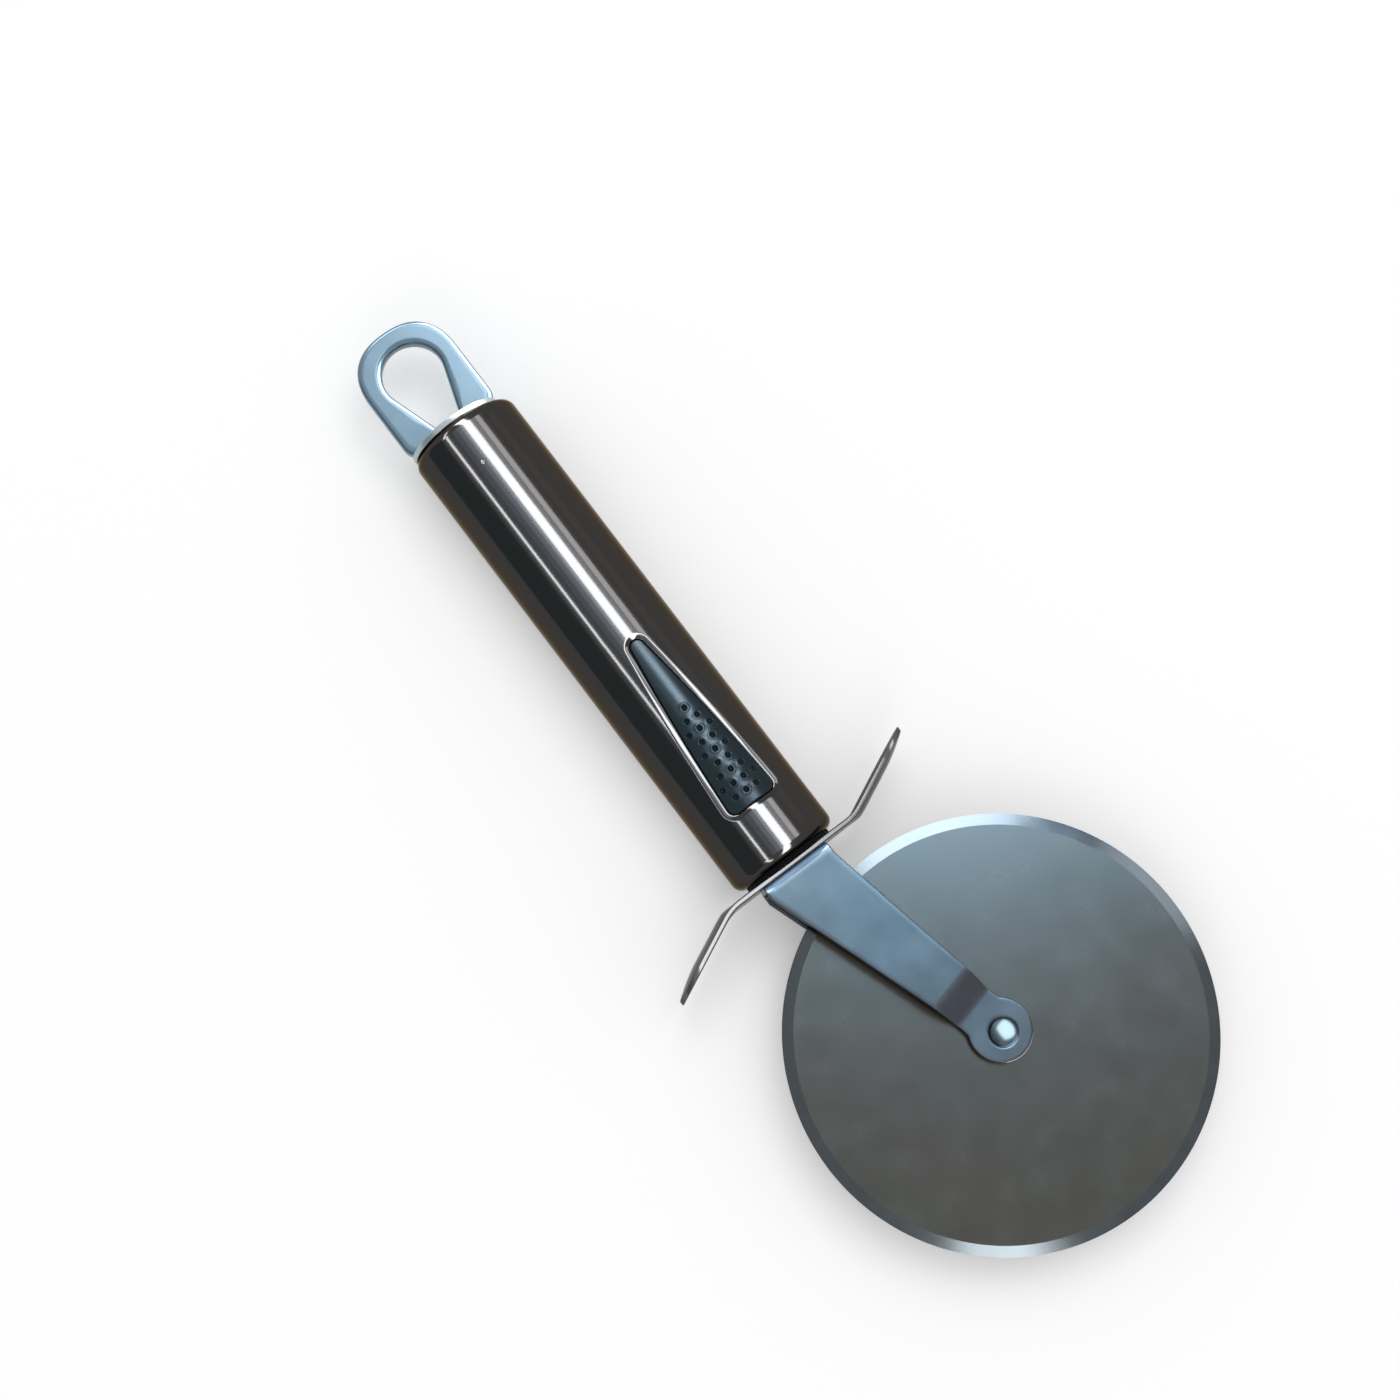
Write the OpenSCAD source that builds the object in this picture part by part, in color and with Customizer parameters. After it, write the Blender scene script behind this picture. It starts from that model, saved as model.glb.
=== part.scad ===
// Pizza cutter wheel with a round steel handle, a finger guard and a riveted cutting wheel.
// It lies with its wheel level: X runs along the handle towards the wheel, Z along the axle.
// The origin is on the handle's axis, halfway along the tube.

/* [Handle tube] */
// Outside diameter of the tube
tube_d = 27.5; // [24:0.5:34]
// Length of the tube
tube_len = 126; // [105:1:150]
// Wall of the tube
tube_wall = 0.7; // [0.5:0.1:1]
// Outside radius of the spun corners at both ends
tube_corner_r = 2.6; // [1.8:0.1:3.2]
// Width of the flat rim that each spun end leaves
tube_rim_w = 1.6; // [1:0.1:2.4]

/* [Grip insert] */
// Length of the pressed pocket
pocket_len = 45.9; // [36:0.1:54]
// Width of the pocket's wide end
pocket_w = 12.9; // [10:0.1:14.5]
// Radius of the pocket's narrow tip
pocket_tip_r = 1.9; // [1.4:0.1:2.4]
// Radius of the wide end's corners
pocket_corner_r = 2; // [1:0.1:3]
// How far each long side bows outwards
pocket_bow = 0.4; // [0:0.1:0.8]
// Depth of the pocket under the tube's surface
pocket_depth = 2.2; // [1.6:0.1:2.8]
// Plain tube between the pocket and the tube's front end
pocket_setback = 14.1; // [11:0.1:18]
// Turn of the pocket about the handle, in degrees
pocket_turn = 4; // [0:1:15]
// How far the soft insert lies below the tube's surface
insert_recess = 0.45; // [0.3:0.05:0.8]
// Diameter of a dimple in the insert
dimple_d = 1.1; // [0.8:0.1:1.4]
// Distance between rows of dimples
dimple_pitch = 2.9; // [2.4:0.1:3.6]

/* [Finger guard] */
// Width of the guard strip
guard_w = 17; // [14.5:0.5:20]
// Thickness of the guard strip
guard_t = 1.3; // [1:0.1:1.8]
// Half the length of the guard's flat middle
guard_flat = 15; // [13:0.5:18]
// Inside radius of the guard's bends
guard_bend_r = 11; // [7:0.5:15]
// Angle of the guard's wings, in degrees
guard_angle = 25; // [15:1:35]
// Straight length of each wing beyond its bend
guard_wing = 21.5; // [15:0.5:25]

/* [Fork] */
// Thickness of the fork's steel
fork_t = 1.3; // [1:0.1:1.6]
// Width over the two arms, outside to outside, along the axle
fork_h = 14; // [13:0.5:16]
// Width of the arm at its root
arm_root_w = 18; // [16:0.5:21]
// Width of the arm at its neck
arm_neck_w = 11; // [9:0.5:13]
// Radius of the round pad at the axle
pad_r = 7.4; // [6.6:0.1:8.4]
// How far the pad's centre lies before the axle
pad_offset = 0.9; // [0:0.1:1.5]
// Angle between the arms and the handle, in degrees
arm_skew = 14.3; // [8:0.1:18]
// Slope of the joggle that brings the arm down to the wheel, in degrees
joggle_angle = 37; // [30:1:45]
// Middle radius of the joggle's bends
joggle_r = 4; // [3:0.1:5]
// Outside radius of the bend at the fork's web
web_bend_r = 2.2; // [1.8:0.1:3]

/* [Cutting wheel] */
// Diameter of the wheel
blade_d = 100; // [85:1:115]
// Thickness of the wheel
blade_t = 1; // [0.8:0.1:1.5]
// Width of the ground bevel on each face
bevel_w = 2.6; // [1.8:0.1:3.4]
// Thickness left at the cutting edge
edge_t = 0.16; // [0.1:0.02:0.3]
// Gap between the wheel's rim and the guard's middle, along the arms
rim_gap = 10.9; // [9:0.1:16]

/* [Axle] */
// Diameter of the rivet's shank
rivet_d = 5; // [4:0.1:5.6]
// Diameter of the rivet's domed head
rivet_head_d = 5.9; // [5.7:0.1:6.8]
// Height of the rivet's domed head above the pad
rivet_head_h = 1.2; // [0.8:0.1:1.6]
// Wall of the bushing that the wheel turns on
bushing_wall = 1.05; // [0.8:0.05:1.4]
// Diameter of the spacer washers
spacer_d = 13.8; // [12.6:0.1:15]
// Thickness of the spacer washers
spacer_t = 1; // [0.8:0.1:1.3]

/* [Hanging loop] */
// Width of the loop
loop_w = 25; // [22:0.5:27]
// Thickness of the loop
loop_t = 4; // [3.2:0.1:5]
// Length of the loop beyond its flange
loop_len = 28.6; // [25:0.1:33]
// How far the loop and its flange stand off the handle's axis
loop_shift = -1; // [-1.1:0.1:0]
// Radius of the round end of the hanging hole
hang_r = 7.4; // [6:0.1:8]
// Metal left between the hole and the end of the loop
loop_rim = 5; // [4:0.1:6]
// Diameter of the flange that closes the tube
flange_d = 24; // [22.5:0.1:24.5]
// Thickness of the flange
flange_t = 1.5; // [1.3:0.1:2.6]

/* [Fixings] */
// Diameter of the screw that holds the fork
screw_d = 5; // [4:0.1:5.4]
// Diameter of the screw's head
screw_head_d = 9; // [8.4:0.1:10]
// Height of the screw's head
screw_head_h = 2.8; // [2.2:0.1:3.2]
// Thickness of the lock washer
lock_washer_t = 1.2; // [0.9:0.1:1.5]
// Thickness of the soft seal between tube and guard
seal_t = 1; // [0.8:0.1:1.6]
// Diameter of the soft seal
seal_d = 23; // [21.5:0.1:23.6]

/* [Hidden] */
$fn = 96;

// One overrun serves every cut
over = 1;
// Running clearance, on the radius, between the wheel and its bushing
run_gap = 0.05;
// Clearance, on the radius, of pieces that are pushed into one another
push_gap = 0.05;
// Clearance, on the radius, of a screw in a plain hole
hole_gap = 0.2;
// Side play between the wheel and each spacer
side_play = 0.15;
// Clearance between the insert and the pocket's wall
insert_gap = 0.15;

// Places along the handle
tube_r = tube_d / 2;
bore_r = tube_r - tube_wall;
front_x = tube_len / 2;
tail_x = -tube_len / 2;
mouth_r = tube_r - tube_corner_r - tube_rim_w;
guard_x = front_x + seal_t;
web_x = guard_x + guard_t;
screw_seat_x = web_x + fork_t;

// The pocket, along X from its wide end back to its tip
pocket_x1 = front_x - pocket_setback;
pocket_x0 = pocket_x1 - pocket_len;
pocket_floor_r = tube_r - pocket_depth;
pan_r = pocket_floor_r - tube_wall;
lip_w = 0.45;
lip_h = 0.3;

// Studs that hold the insert in the pocket's floor
stud_r = 1.5;
stud_head_r = 2.1;
stud_head_h = 1.2;
stud_seat_r = sqrt(pan_r * pan_r - stud_head_r * stud_head_r) - push_gap;
stud_place_shares = [0.34, 0.8];

// Dimples of the insert
dimple_h = 0.5;
dimple_col = 3.1;
dimple_zone_share = 0.52;
dimple_edge = 1.4;

// Punch mark that locks the tail plug
stake_setback = 12.2;
stake_r = 1.1;
stake_tip_r = 0.3;
stake_h = 0.45;
stake_turn = -6;

// Front plug, its nut and screw
plug_gap = 1.2;
plug_len = pocket_setback - tube_wall - plug_gap;
nut_af_share = 1.6;
nut_h_share = 0.94;
nut_af = screw_d * nut_af_share;
nut_h = screw_d * nut_h_share;
nut_r = nut_af / 2 / cos(30);
nut_x = front_x - plug_len;
screw_tip_x = nut_x - plug_gap / 2;
lock_washer_r = screw_head_d / 2 - hole_gap;
lock_slit_w = 1;
recess_w = 1.1;
recess_share = 0.6;

// The fork's arms, measured from the axle
blade_r = blade_d / 2;
arm_reach = blade_r + rim_gap;
axle_x = guard_x + guard_t / 2 + arm_reach * cos(arm_skew);
axle_y = arm_reach * sin(arm_skew);
pad_in_z = blade_t / 2 + side_play + spacer_t;
pad_out_z = pad_in_z + fork_t;
arm_out_z = fork_h / 2;
joggle_drop = arm_out_z - pad_out_z;
joggle_flat = (joggle_drop - 2 * joggle_r * (1 - cos(joggle_angle))) / sin(joggle_angle);
joggle_run = 2 * joggle_r * sin(joggle_angle) + joggle_flat * cos(joggle_angle);
pad_flat = pad_r + pad_offset;

// Axle stack
bushing_r = rivet_d / 2 + push_gap + bushing_wall;
blade_hole_r = bushing_r + run_gap;
spacer_hole_r = bushing_r + push_gap;
sink_r = rivet_head_d / 2 + 0.4 * fork_t;
sink_h = 0.3 * fork_t;
tail_head_r = rivet_head_d / 2 + fork_t / 2;
tail_head_h = 0.7 * rivet_head_h;

// Loop and tail plug
flange_x = tail_x - flange_t;
loop_end_x = flange_x - loop_len;
loop_power = 2.4;
hang_x = loop_end_x + loop_rim + hang_r;
hang_foot = 1.5;
hang_base_x = flange_x - hang_foot;
hang_base_w_share = 0.4;
hang_base_w = 2 * hang_r * hang_base_w_share;
shoulder_r = 2.2;
spigot_r = 5;
spigot_len = 14;
groove_h = 0.6;
groove_w = 1.6;
tail_plug_len = 18;

// Points of an arc about c, from angle a0 to a1
function arc(c, r, a0, a1, n = 8) =
    [for (i = [0:n]) let (a = a0 + (a1 - a0) * i / n) c + r * [cos(a), sin(a)]];

// Rotates a point about the origin
function turned(p, a) = [p[0] * cos(a) - p[1] * sin(a), p[0] * sin(a) + p[1] * cos(a)];

// Lays what is drawn along Z down along X
module along_x() {
    rotate([0, 90, 0])
        children();
}

// Solid of the handle's outside, or of its hollow when inset by the wall
module handle_body(inset) {
    r = tube_r - inset;
    corner = tube_corner_r - inset;
    half = tube_len / 2 - inset;
    profile = concat([[0, -half]],
                     arc([r - corner, corner - half], corner, -90, 0),
                     arc([r - corner, half - corner], corner, 0, 90),
                     [[0, half]]);
    along_x()
        rotate_extrude()
            polygon(profile);
}

// Half the pocket's width at a share t of the way from the tip's centre to the wide end
function pocket_half(t) =
    pocket_tip_r + (pocket_w / 2 - pocket_tip_r) * t + 4 * pocket_bow * t * (1 - t);

// Outline of the pocket, grown by g
function pocket_side(g) =
    let (x0 = pocket_x0 + pocket_tip_r, x1 = pocket_x1 - pocket_corner_r, n = 12)
    [for (i = [0:n]) let (t = i / n) [x0 + (x1 - x0) * t, pocket_half(t) + g]];

function pocket_outline(g) =
    let (tip = [pocket_x0 + pocket_tip_r, 0],
         corner = [pocket_x1 - pocket_corner_r, pocket_w / 2 - pocket_corner_r],
         side = pocket_side(g),
         n = len(side))
    concat(side,
           arc(corner, pocket_corner_r + g, 80, 0, 5),
           arc([corner[0], -corner[1]], pocket_corner_r + g, 0, -80, 5),
           [for (i = [1:n]) [side[n - i][0], -side[n - i][1]]],
           arc(tip, pocket_tip_r + g, 260, 100, 8));

// Upright block over the pocket, from inside radius r_in outwards
module pocket_block(g, r_in) {
    difference() {
        rotate([-pocket_turn, 0, 0])
            translate([0, 0, tube_r / 2])
                linear_extrude(height = tube_r / 2 + over)
                    polygon(pocket_outline(g));
        along_x()
            cylinder(r = r_in, h = tube_len, center = true);
    }
}

// Places a child on each stud's axis, pointing outwards
module at_studs() {
    for (share = stud_place_shares)
        rotate([-pocket_turn, 0, 0])
            translate([pocket_x0 + pocket_len * share, 0, 0])
                children();
}

// Cone of the punch mark with its tip at radius foot_r, grown sideways by g
module stake_cone(foot_r, g) {
    rotate([-stake_turn, 0, 0])
        translate([tail_x + stake_setback, 0, foot_r])
            cylinder(r1 = stake_tip_r + g, r2 = stake_r + g, h = stake_h + tube_wall / 4);
}

module handle_shell() {
    color("silver")
        difference() {
            union() {
                difference() {
                    handle_body(0);
                    difference() {
                        handle_body(tube_wall);
                        pocket_block(tube_wall, pan_r);
                    }
                }
                stake_cone(bore_r - stake_h, tube_wall / 2);
            }
            pocket_block(0, pocket_floor_r);
            pocket_block(lip_w, tube_r - lip_h);
            along_x()
                cylinder(r = mouth_r, h = tube_len + 2 * over, center = true);
            at_studs()
                cylinder(r = stud_r + push_gap, h = tube_r);
            stake_cone(tube_r - stake_h, 0);
        }
}

// Centres of the dimples: rows along X, every other row between the columns of the last
module at_dimples() {
    rows = floor(pocket_len * dimple_zone_share / dimple_pitch);
    last = pocket_x1 - pocket_corner_r - dimple_edge;
    span = pocket_x1 - pocket_corner_r - pocket_x0 - pocket_tip_r;
    for (row = [0:rows], col = [-2:2]) {
        x = last - row * dimple_pitch;
        y = (col + (row % 2) / 2) * dimple_col;
        room = pocket_half((x - pocket_x0 - pocket_tip_r) / span) - dimple_edge;
        if (abs(y) < room)
            rotate([-pocket_turn - y / tube_r * 180 / PI, 0, 0])
                translate([x, 0, tube_r - insert_recess - dimple_h])
                    children();
    }
}

module grip_insert() {
    seat_r = pocket_floor_r + push_gap;
    stud_top = tube_r - insert_recess - dimple_h;
    stud_foot = stud_seat_r - stud_head_h;
    color("darkslategray") {
        difference() {
            intersection() {
                pocket_block(-insert_gap, seat_r);
                along_x()
                    cylinder(r = tube_r - insert_recess, h = tube_len, center = true);
            }
            at_dimples()
                cylinder(r1 = dimple_d / 4, r2 = dimple_d / 2, h = dimple_h + push_gap);
        }
        at_studs() {
            translate([0, 0, stud_foot])
                cylinder(r = stud_r, h = stud_top - stud_foot);
            translate([0, 0, stud_foot])
                cylinder(r1 = stud_r, r2 = stud_head_r, h = stud_head_h);
        }
    }
}

// Plug that fills the front end of the tube, with a neck that comes through its mouth
module plug(length) {
    intersection() {
        handle_body(tube_wall + push_gap);
        translate([front_x - length, 0, 0])
            along_x()
                cylinder(r = tube_r, h = length);
    }
    translate([front_x - tube_wall - over, 0, 0])
        along_x()
            cylinder(r = mouth_r - push_gap, h = tube_wall + over);
}

module front_plug() {
    color("dimgray")
        difference() {
            plug(plug_len);
            translate([front_x - plug_len - over, 0, 0])
                along_x()
                    cylinder(r = screw_d / 2 + hole_gap, h = plug_len + 2 * over);
            translate([nut_x - over, 0, 0])
                along_x()
                    cylinder(r = nut_r + push_gap, h = nut_h + over, $fn = 6);
        }
}

module captive_nut() {
    color("goldenrod")
        translate([nut_x, 0, 0])
            along_x()
                difference() {
                    cylinder(r = nut_r, h = nut_h, $fn = 6);
                    translate([0, 0, -over])
                        cylinder(r = screw_d / 2 + push_gap, h = nut_h + 2 * over);
                }
}

module front_seal() {
    color("black")
        translate([front_x, 0, 0])
            along_x()
                difference() {
                    cylinder(d = seal_d, h = seal_t);
                    translate([0, 0, -over])
                        cylinder(r = screw_d / 2 + hole_gap, h = seal_t + 2 * over);
                }
}

// Middle line of one guard wing, offset sideways by d, in a frame with X along the strip
function wing_line(d) =
    let (r = guard_bend_r + guard_t / 2,
         end = [guard_flat, 0] + r * [sin(guard_angle), 1 - cos(guard_angle)])
    concat(arc([guard_flat, r], r - d, -90, guard_angle - 90, 10),
           [end + guard_wing * [cos(guard_angle), sin(guard_angle)]
            + d * [-sin(guard_angle), cos(guard_angle)]]);

module guard() {
    top = wing_line(guard_t / 2);
    low = wing_line(-guard_t / 2);
    n = len(top);
    // The second wing is the first one turned half a turn
    outline = concat(top, [for (i = [1:n]) low[n - i]],
                     [for (p = top) -p], [for (i = [1:n]) -low[n - i]]);
    reach = top[n - 1][0];
    color("lightsteelblue")
        translate([guard_x + guard_t / 2, 0, 0])
            difference() {
                intersection() {
                    rotate([0, 0, 90])
                        linear_extrude(height = guard_w, center = true)
                            polygon(outline);
                    along_x()
                        linear_extrude(height = 2 * reach, center = true) {
                            square([guard_w, 2 * reach - guard_w], center = true);
                            for (side = [-1, 1])
                                translate([0, side * (reach - guard_w / 2)])
                                    circle(d = guard_w);
                        }
                }
                along_x()
                    cylinder(r = screw_d / 2 + hole_gap, h = guard_t + 2 * over, center = true);
            }
}

// Height of the arm along the fork, with X along the arm from the axle: the mid line moved out by d
function joggle_line(d) =
    let (mid_z = pad_in_z + fork_t / 2,
         high_z = arm_out_z - fork_t / 2,
         high_x = -pad_flat - joggle_run)
    concat([[-2 * arm_reach, high_z + d]],
           arc([high_x, high_z - joggle_r], joggle_r + d, 90, 90 - joggle_angle, 8),
           arc([-pad_flat, mid_z + joggle_r], joggle_r - d, 270 - joggle_angle, 270, 8),
           [[2 * pad_r, mid_z + d]]);

// Solid between the two arms' lines moved out by d, with the web's corners rounded
module fork_core(d) {
    line = joggle_line(d);
    n = len(line);
    inset = fork_t / 2 - d;
    r = web_bend_r - inset;
    z = arm_out_z - inset;
    intersection() {
        translate([axle_x, axle_y, 0])
            rotate([90, 0, arm_skew])
                linear_extrude(height = 2 * arm_root_w, center = true)
                    polygon(concat(line, [for (i = [1:n]) [line[n - i][0], -line[n - i][1]]]));
        translate([web_x + inset, 0, 0])
            rotate([90, 0, 0])
                linear_extrude(height = 2 * arm_reach, center = true)
                    polygon(concat([[2 * arm_reach, -z - over], [r, -z - over]],
                                   arc([r, r - z], r, 270, 180, 6),
                                   arc([r, z - r], r, 180, 90, 6),
                                   [[r, z + over], [2 * arm_reach, z + over]]));
    }
}

// Upright block over the plan of both arms: a tapered strip from the web to the neck, and a round pad
module arm_plan() {
    neck = [axle_x, axle_y] + turned([-pad_flat, 0], arm_skew);
    side = turned([0, arm_neck_w / 2], arm_skew);
    pad = [axle_x, axle_y] + turned([-pad_offset, 0], arm_skew);
    pad_side = turned([0, pad_r - fork_t], arm_skew);
    root_x = web_x + web_bend_r + fork_t;
    root_y = arm_root_w / 2;
    translate([0, 0, -fork_h])
        linear_extrude(height = 2 * fork_h)
            polygon([[web_x - over, root_y], [root_x, root_y], neck + side, pad + pad_side,
                     pad - pad_side, neck - side, [root_x, -root_y], [web_x - over, -root_y]]);
    translate(pad)
        cylinder(r = pad_r, h = 2 * fork_h, center = true);
}

module fork() {
    color("slategray")
        difference() {
            intersection() {
                arm_plan();
                fork_core(fork_t / 2);
            }
            fork_core(-fork_t / 2);
            translate([web_x - over, 0, 0])
                along_x()
                    cylinder(r = screw_d / 2 + hole_gap, h = fork_t + 2 * over);
            translate([axle_x, axle_y, 0]) {
                cylinder(r = rivet_d / 2 + push_gap, h = fork_h, center = true);
                translate([0, 0, pad_out_z - sink_h])
                    cylinder(r = sink_r, h = sink_h + over);
            }
        }
}

module lock_washer() {
    color("gray")
        translate([screw_seat_x, 0, 0])
            along_x()
                difference() {
                    cylinder(r = lock_washer_r, h = lock_washer_t);
                    translate([0, 0, -over])
                        cylinder(r = screw_d / 2 + hole_gap, h = lock_washer_t + 2 * over);
                    rotate([0, 0, 20])
                        translate([0, -lock_slit_w / 2, -over])
                            cube([screw_head_d, lock_slit_w, lock_washer_t + 2 * over]);
                }
}

module fork_screw() {
    head_x = screw_seat_x + lock_washer_t;
    dome = screw_head_h / 2;
    head_r = screw_head_d / 2;
    dome_r = (head_r * head_r + dome * dome) / 2 / dome;
    color("gainsboro")
        difference() {
            along_x() {
                translate([0, 0, screw_tip_x])
                    cylinder(d = screw_d, h = head_x + over / 2 - screw_tip_x);
                translate([0, 0, head_x])
                    rotate_extrude()
                        polygon(concat([[0, 0], [head_r, 0]],
                                       arc([0, screw_head_h - dome_r], dome_r,
                                           acos(head_r / dome_r), 90, 8)));
            }
            for (turn = [45, 135])
                rotate([turn, 0, 0])
                    translate([head_x + screw_head_h / 2, -recess_w / 2, -head_r * recess_share])
                        cube([screw_head_h, recess_w, 2 * head_r * recess_share]);
        }
}

module blade() {
    flat_r = blade_r - bevel_w;
    color("lightgray")
        translate([axle_x, axle_y, 0])
            rotate_extrude()
                polygon([[blade_hole_r, -blade_t / 2], [flat_r, -blade_t / 2], [blade_r, -edge_t / 2],
                         [blade_r, edge_t / 2], [flat_r, blade_t / 2], [blade_hole_r, blade_t / 2]]);
}

module axle_bushing() {
    color("goldenrod")
        translate([axle_x, axle_y, 0])
            difference() {
                cylinder(r = bushing_r, h = 2 * pad_in_z, center = true);
                cylinder(r = rivet_d / 2 + push_gap, h = 2 * pad_in_z + 2 * over, center = true);
            }
}

// Flat washer between the wheel and a pad
module spacer() {
    translate([axle_x, axle_y, blade_t / 2 + side_play])
        difference() {
            cylinder(d = spacer_d, h = spacer_t);
            translate([0, 0, -over])
                cylinder(r = spacer_hole_r, h = spacer_t + 2 * over);
        }
}

module spacer_front() {
    color("whitesmoke")
        spacer();
}

module spacer_back() {
    color("whitesmoke")
        mirror([0, 0, 1])
            spacer();
}

// Domed end of the rivet: base radius r, height h
module rivet_dome(r, h) {
    dome_r = (r * r + h * h) / 2 / h;
    rotate_extrude()
        polygon(concat([[0, 0]], arc([0, h - dome_r], dome_r, asin((dome_r - h) / dome_r), 90, 10)));
}

module axle_rivet() {
    color("white")
        translate([axle_x, axle_y, 0]) {
            translate([0, 0, -pad_out_z])
                cylinder(d = rivet_d, h = 2 * pad_out_z);
            translate([0, 0, pad_out_z - sink_h])
                cylinder(d = rivet_head_d, h = sink_h);
            translate([0, 0, pad_out_z])
                rivet_dome(rivet_head_d / 2, rivet_head_h);
            translate([0, 0, -pad_out_z])
                mirror([0, 0, 1])
                    rivet_dome(tail_head_r, tail_head_h);
        }
}

module tail_plug() {
    color("dimgray")
        difference() {
            mirror([1, 0, 0])
                plug(tail_plug_len);
            translate([tail_x - over, 0, 0])
                along_x()
                    cylinder(r = spigot_r + push_gap, h = spigot_len + push_gap + over);
            stake_cone(bore_r - stake_h - push_gap, tube_wall / 2 + push_gap);
        }
}

// Outline of the loop's plate: square-round end, straight sides and a small shoulder
function loop_outline() =
    let (half = loop_w / 2,
         end_x = loop_end_x + half,
         foot = min(half, flange_d / 2 - push_gap) - shoulder_r / 2)
    concat([for (i = [0:32])
                let (a = 90 + 180 * i / 32, c = cos(a), s = sin(a))
                [end_x - half * pow(abs(c), 2 / loop_power),
                 half * sign(s) * pow(abs(s), 2 / loop_power)]],
           arc([flange_x - shoulder_r, shoulder_r - half], shoulder_r, 270, 330, 5),
           [[flange_x + flange_t / 2, -foot], [flange_x + flange_t / 2, foot]],
           arc([flange_x - shoulder_r, half - shoulder_r], shoulder_r, 30, 90, 5));

// Teardrop hole: a circle and its two tangents down to a narrow flat base
module hang_hole() {
    base = [hang_base_x, hang_base_w / 2];
    v = [hang_x, 0] - base;
    reach = norm(v);
    // Direction from the circle's centre to the tangent's touching point
    lean = atan2(-v[1], -v[0]) + acos(hang_r / reach);
    touch = [hang_x, 0] + hang_r * [cos(lean), sin(lean)];
    circle(r = hang_r);
    translate([-hang_x, 0])
        polygon([[hang_x, 0], touch, base, [base[0], -base[1]], [touch[0], -touch[1]]]);
}

module hang_loop() {
    color("lightsteelblue") {
        translate([0, loop_shift, 0]) {
            difference() {
                linear_extrude(height = loop_t, center = true)
                    polygon(loop_outline());
                linear_extrude(height = loop_t + 2 * over, center = true)
                    translate([hang_x, 0])
                        hang_hole();
            }
            along_x()
                translate([0, 0, flange_x])
                    cylinder(d = flange_d, h = flange_t);
        }
        along_x()
            translate([0, 0, flange_x])
                difference() {
                    cylinder(r = spigot_r, h = flange_t + spigot_len);
                    for (k = [1:3])
                        translate([0, 0, flange_t + k * spigot_len / 4])
                            difference() {
                                cylinder(r = spigot_r + over, h = groove_w);
                                cylinder(r = spigot_r - groove_h, h = groove_w);
                            }
                }
    }
}

handle_shell();
grip_insert();
front_plug();
captive_nut();
front_seal();
guard();
fork();
lock_washer();
fork_screw();
blade();
axle_bushing();
spacer_front();
spacer_back();
axle_rivet();
tail_plug();
hang_loop();
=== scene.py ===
"""Looks of a pizza cutter with a round steel handle, a finger guard and a riveted cutting wheel.

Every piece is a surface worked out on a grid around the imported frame, in metres:
X runs along the handle towards the wheel, Z along the wheel's axle. A whole number given to linspace, arc or
revolve is a count of points.
"""
import math

import bmesh
import bpy
import numpy as np
from bpy.props import FloatProperty, FloatVectorProperty, IntProperty, PointerProperty
from bpy.types import Operator, Panel, PropertyGroup
from mathutils import Matrix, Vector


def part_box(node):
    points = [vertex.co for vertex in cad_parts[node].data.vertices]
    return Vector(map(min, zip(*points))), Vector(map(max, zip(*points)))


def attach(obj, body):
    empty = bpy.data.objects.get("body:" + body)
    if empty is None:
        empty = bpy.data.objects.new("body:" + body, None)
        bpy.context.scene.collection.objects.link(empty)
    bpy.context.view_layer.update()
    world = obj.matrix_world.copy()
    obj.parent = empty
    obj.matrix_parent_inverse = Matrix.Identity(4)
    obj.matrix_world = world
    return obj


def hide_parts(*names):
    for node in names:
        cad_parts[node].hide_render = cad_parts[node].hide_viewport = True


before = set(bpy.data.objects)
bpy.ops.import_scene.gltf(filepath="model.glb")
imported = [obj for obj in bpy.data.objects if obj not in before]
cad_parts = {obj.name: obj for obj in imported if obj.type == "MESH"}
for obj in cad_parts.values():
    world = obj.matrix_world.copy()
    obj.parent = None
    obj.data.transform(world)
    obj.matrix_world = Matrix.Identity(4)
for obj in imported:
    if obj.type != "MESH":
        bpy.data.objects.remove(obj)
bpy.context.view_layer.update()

bl_info = {
    "name": "Pizza cutter looks",
    "version": (1, 0, 0),
    "blender": (4, 5, 0),
    "location": "View3D > Sidebar > Cutter",
    "description": "Builds the surfaces and finishes of a pizza cutter around its frame",
    "category": "Object",
}

MM = 0.001
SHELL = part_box("handle_shell")
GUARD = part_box("guard")
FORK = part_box("fork")
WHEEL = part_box("blade")
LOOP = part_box("hang_loop")
AXLE = (WHEEL[0] + WHEEL[1]) / 2
# Points nearer to each other than this are one
MERGE = 0.002 * MM
# Small rounded edges: the rivet's sink, the washers, the flange. Such an edge is drawn with one point midway,
# which lies at this share of its radius from both faces
SINK_EDGE, WASHER_EDGE, FLANGE_EDGE = 0.12 * MM, 0.15 * MM, 0.35 * MM
MIDWAY = 0.3
# Columns round the wheel
WHEEL_COLUMNS = 256
# The punch mark's fine rows and columns reach this many of its radii from its middle, and the plain columns
# stay this many away
MARK_FINE, MARK_CLEAR = 1.3, 1.5
# Where the ring round a dimple has its top and how wide it is, in the dimple's radii
RING_AT, RING_WIDTH = 1.35, 0.35
# How far inside the pocket's wall an extra row lies, to keep the corner at the wall crisp
INNER_ROW = 1 * MM
# Between the insert and the pocket's floor
FLOOR_GAP = 0.02 * MM


def linear(text):
    """Linear colour of an sRGB hex value."""
    srgb = np.array([int(text[k:k + 2], 16) for k in (0, 2, 4)]) / 255
    return tuple(np.where(srgb <= 0.04045, srgb / 12.92, ((srgb + 0.055) / 1.055) ** 2.4))


def length(name, description, default):
    """A length that a user can change, in metres."""
    return FloatProperty(name=name, description=description, default=default, unit="LENGTH", precision=5)


def mm(name, description, size):
    """A length that a user can change, given in millimetres."""
    return length(name, description, size * MM)


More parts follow.
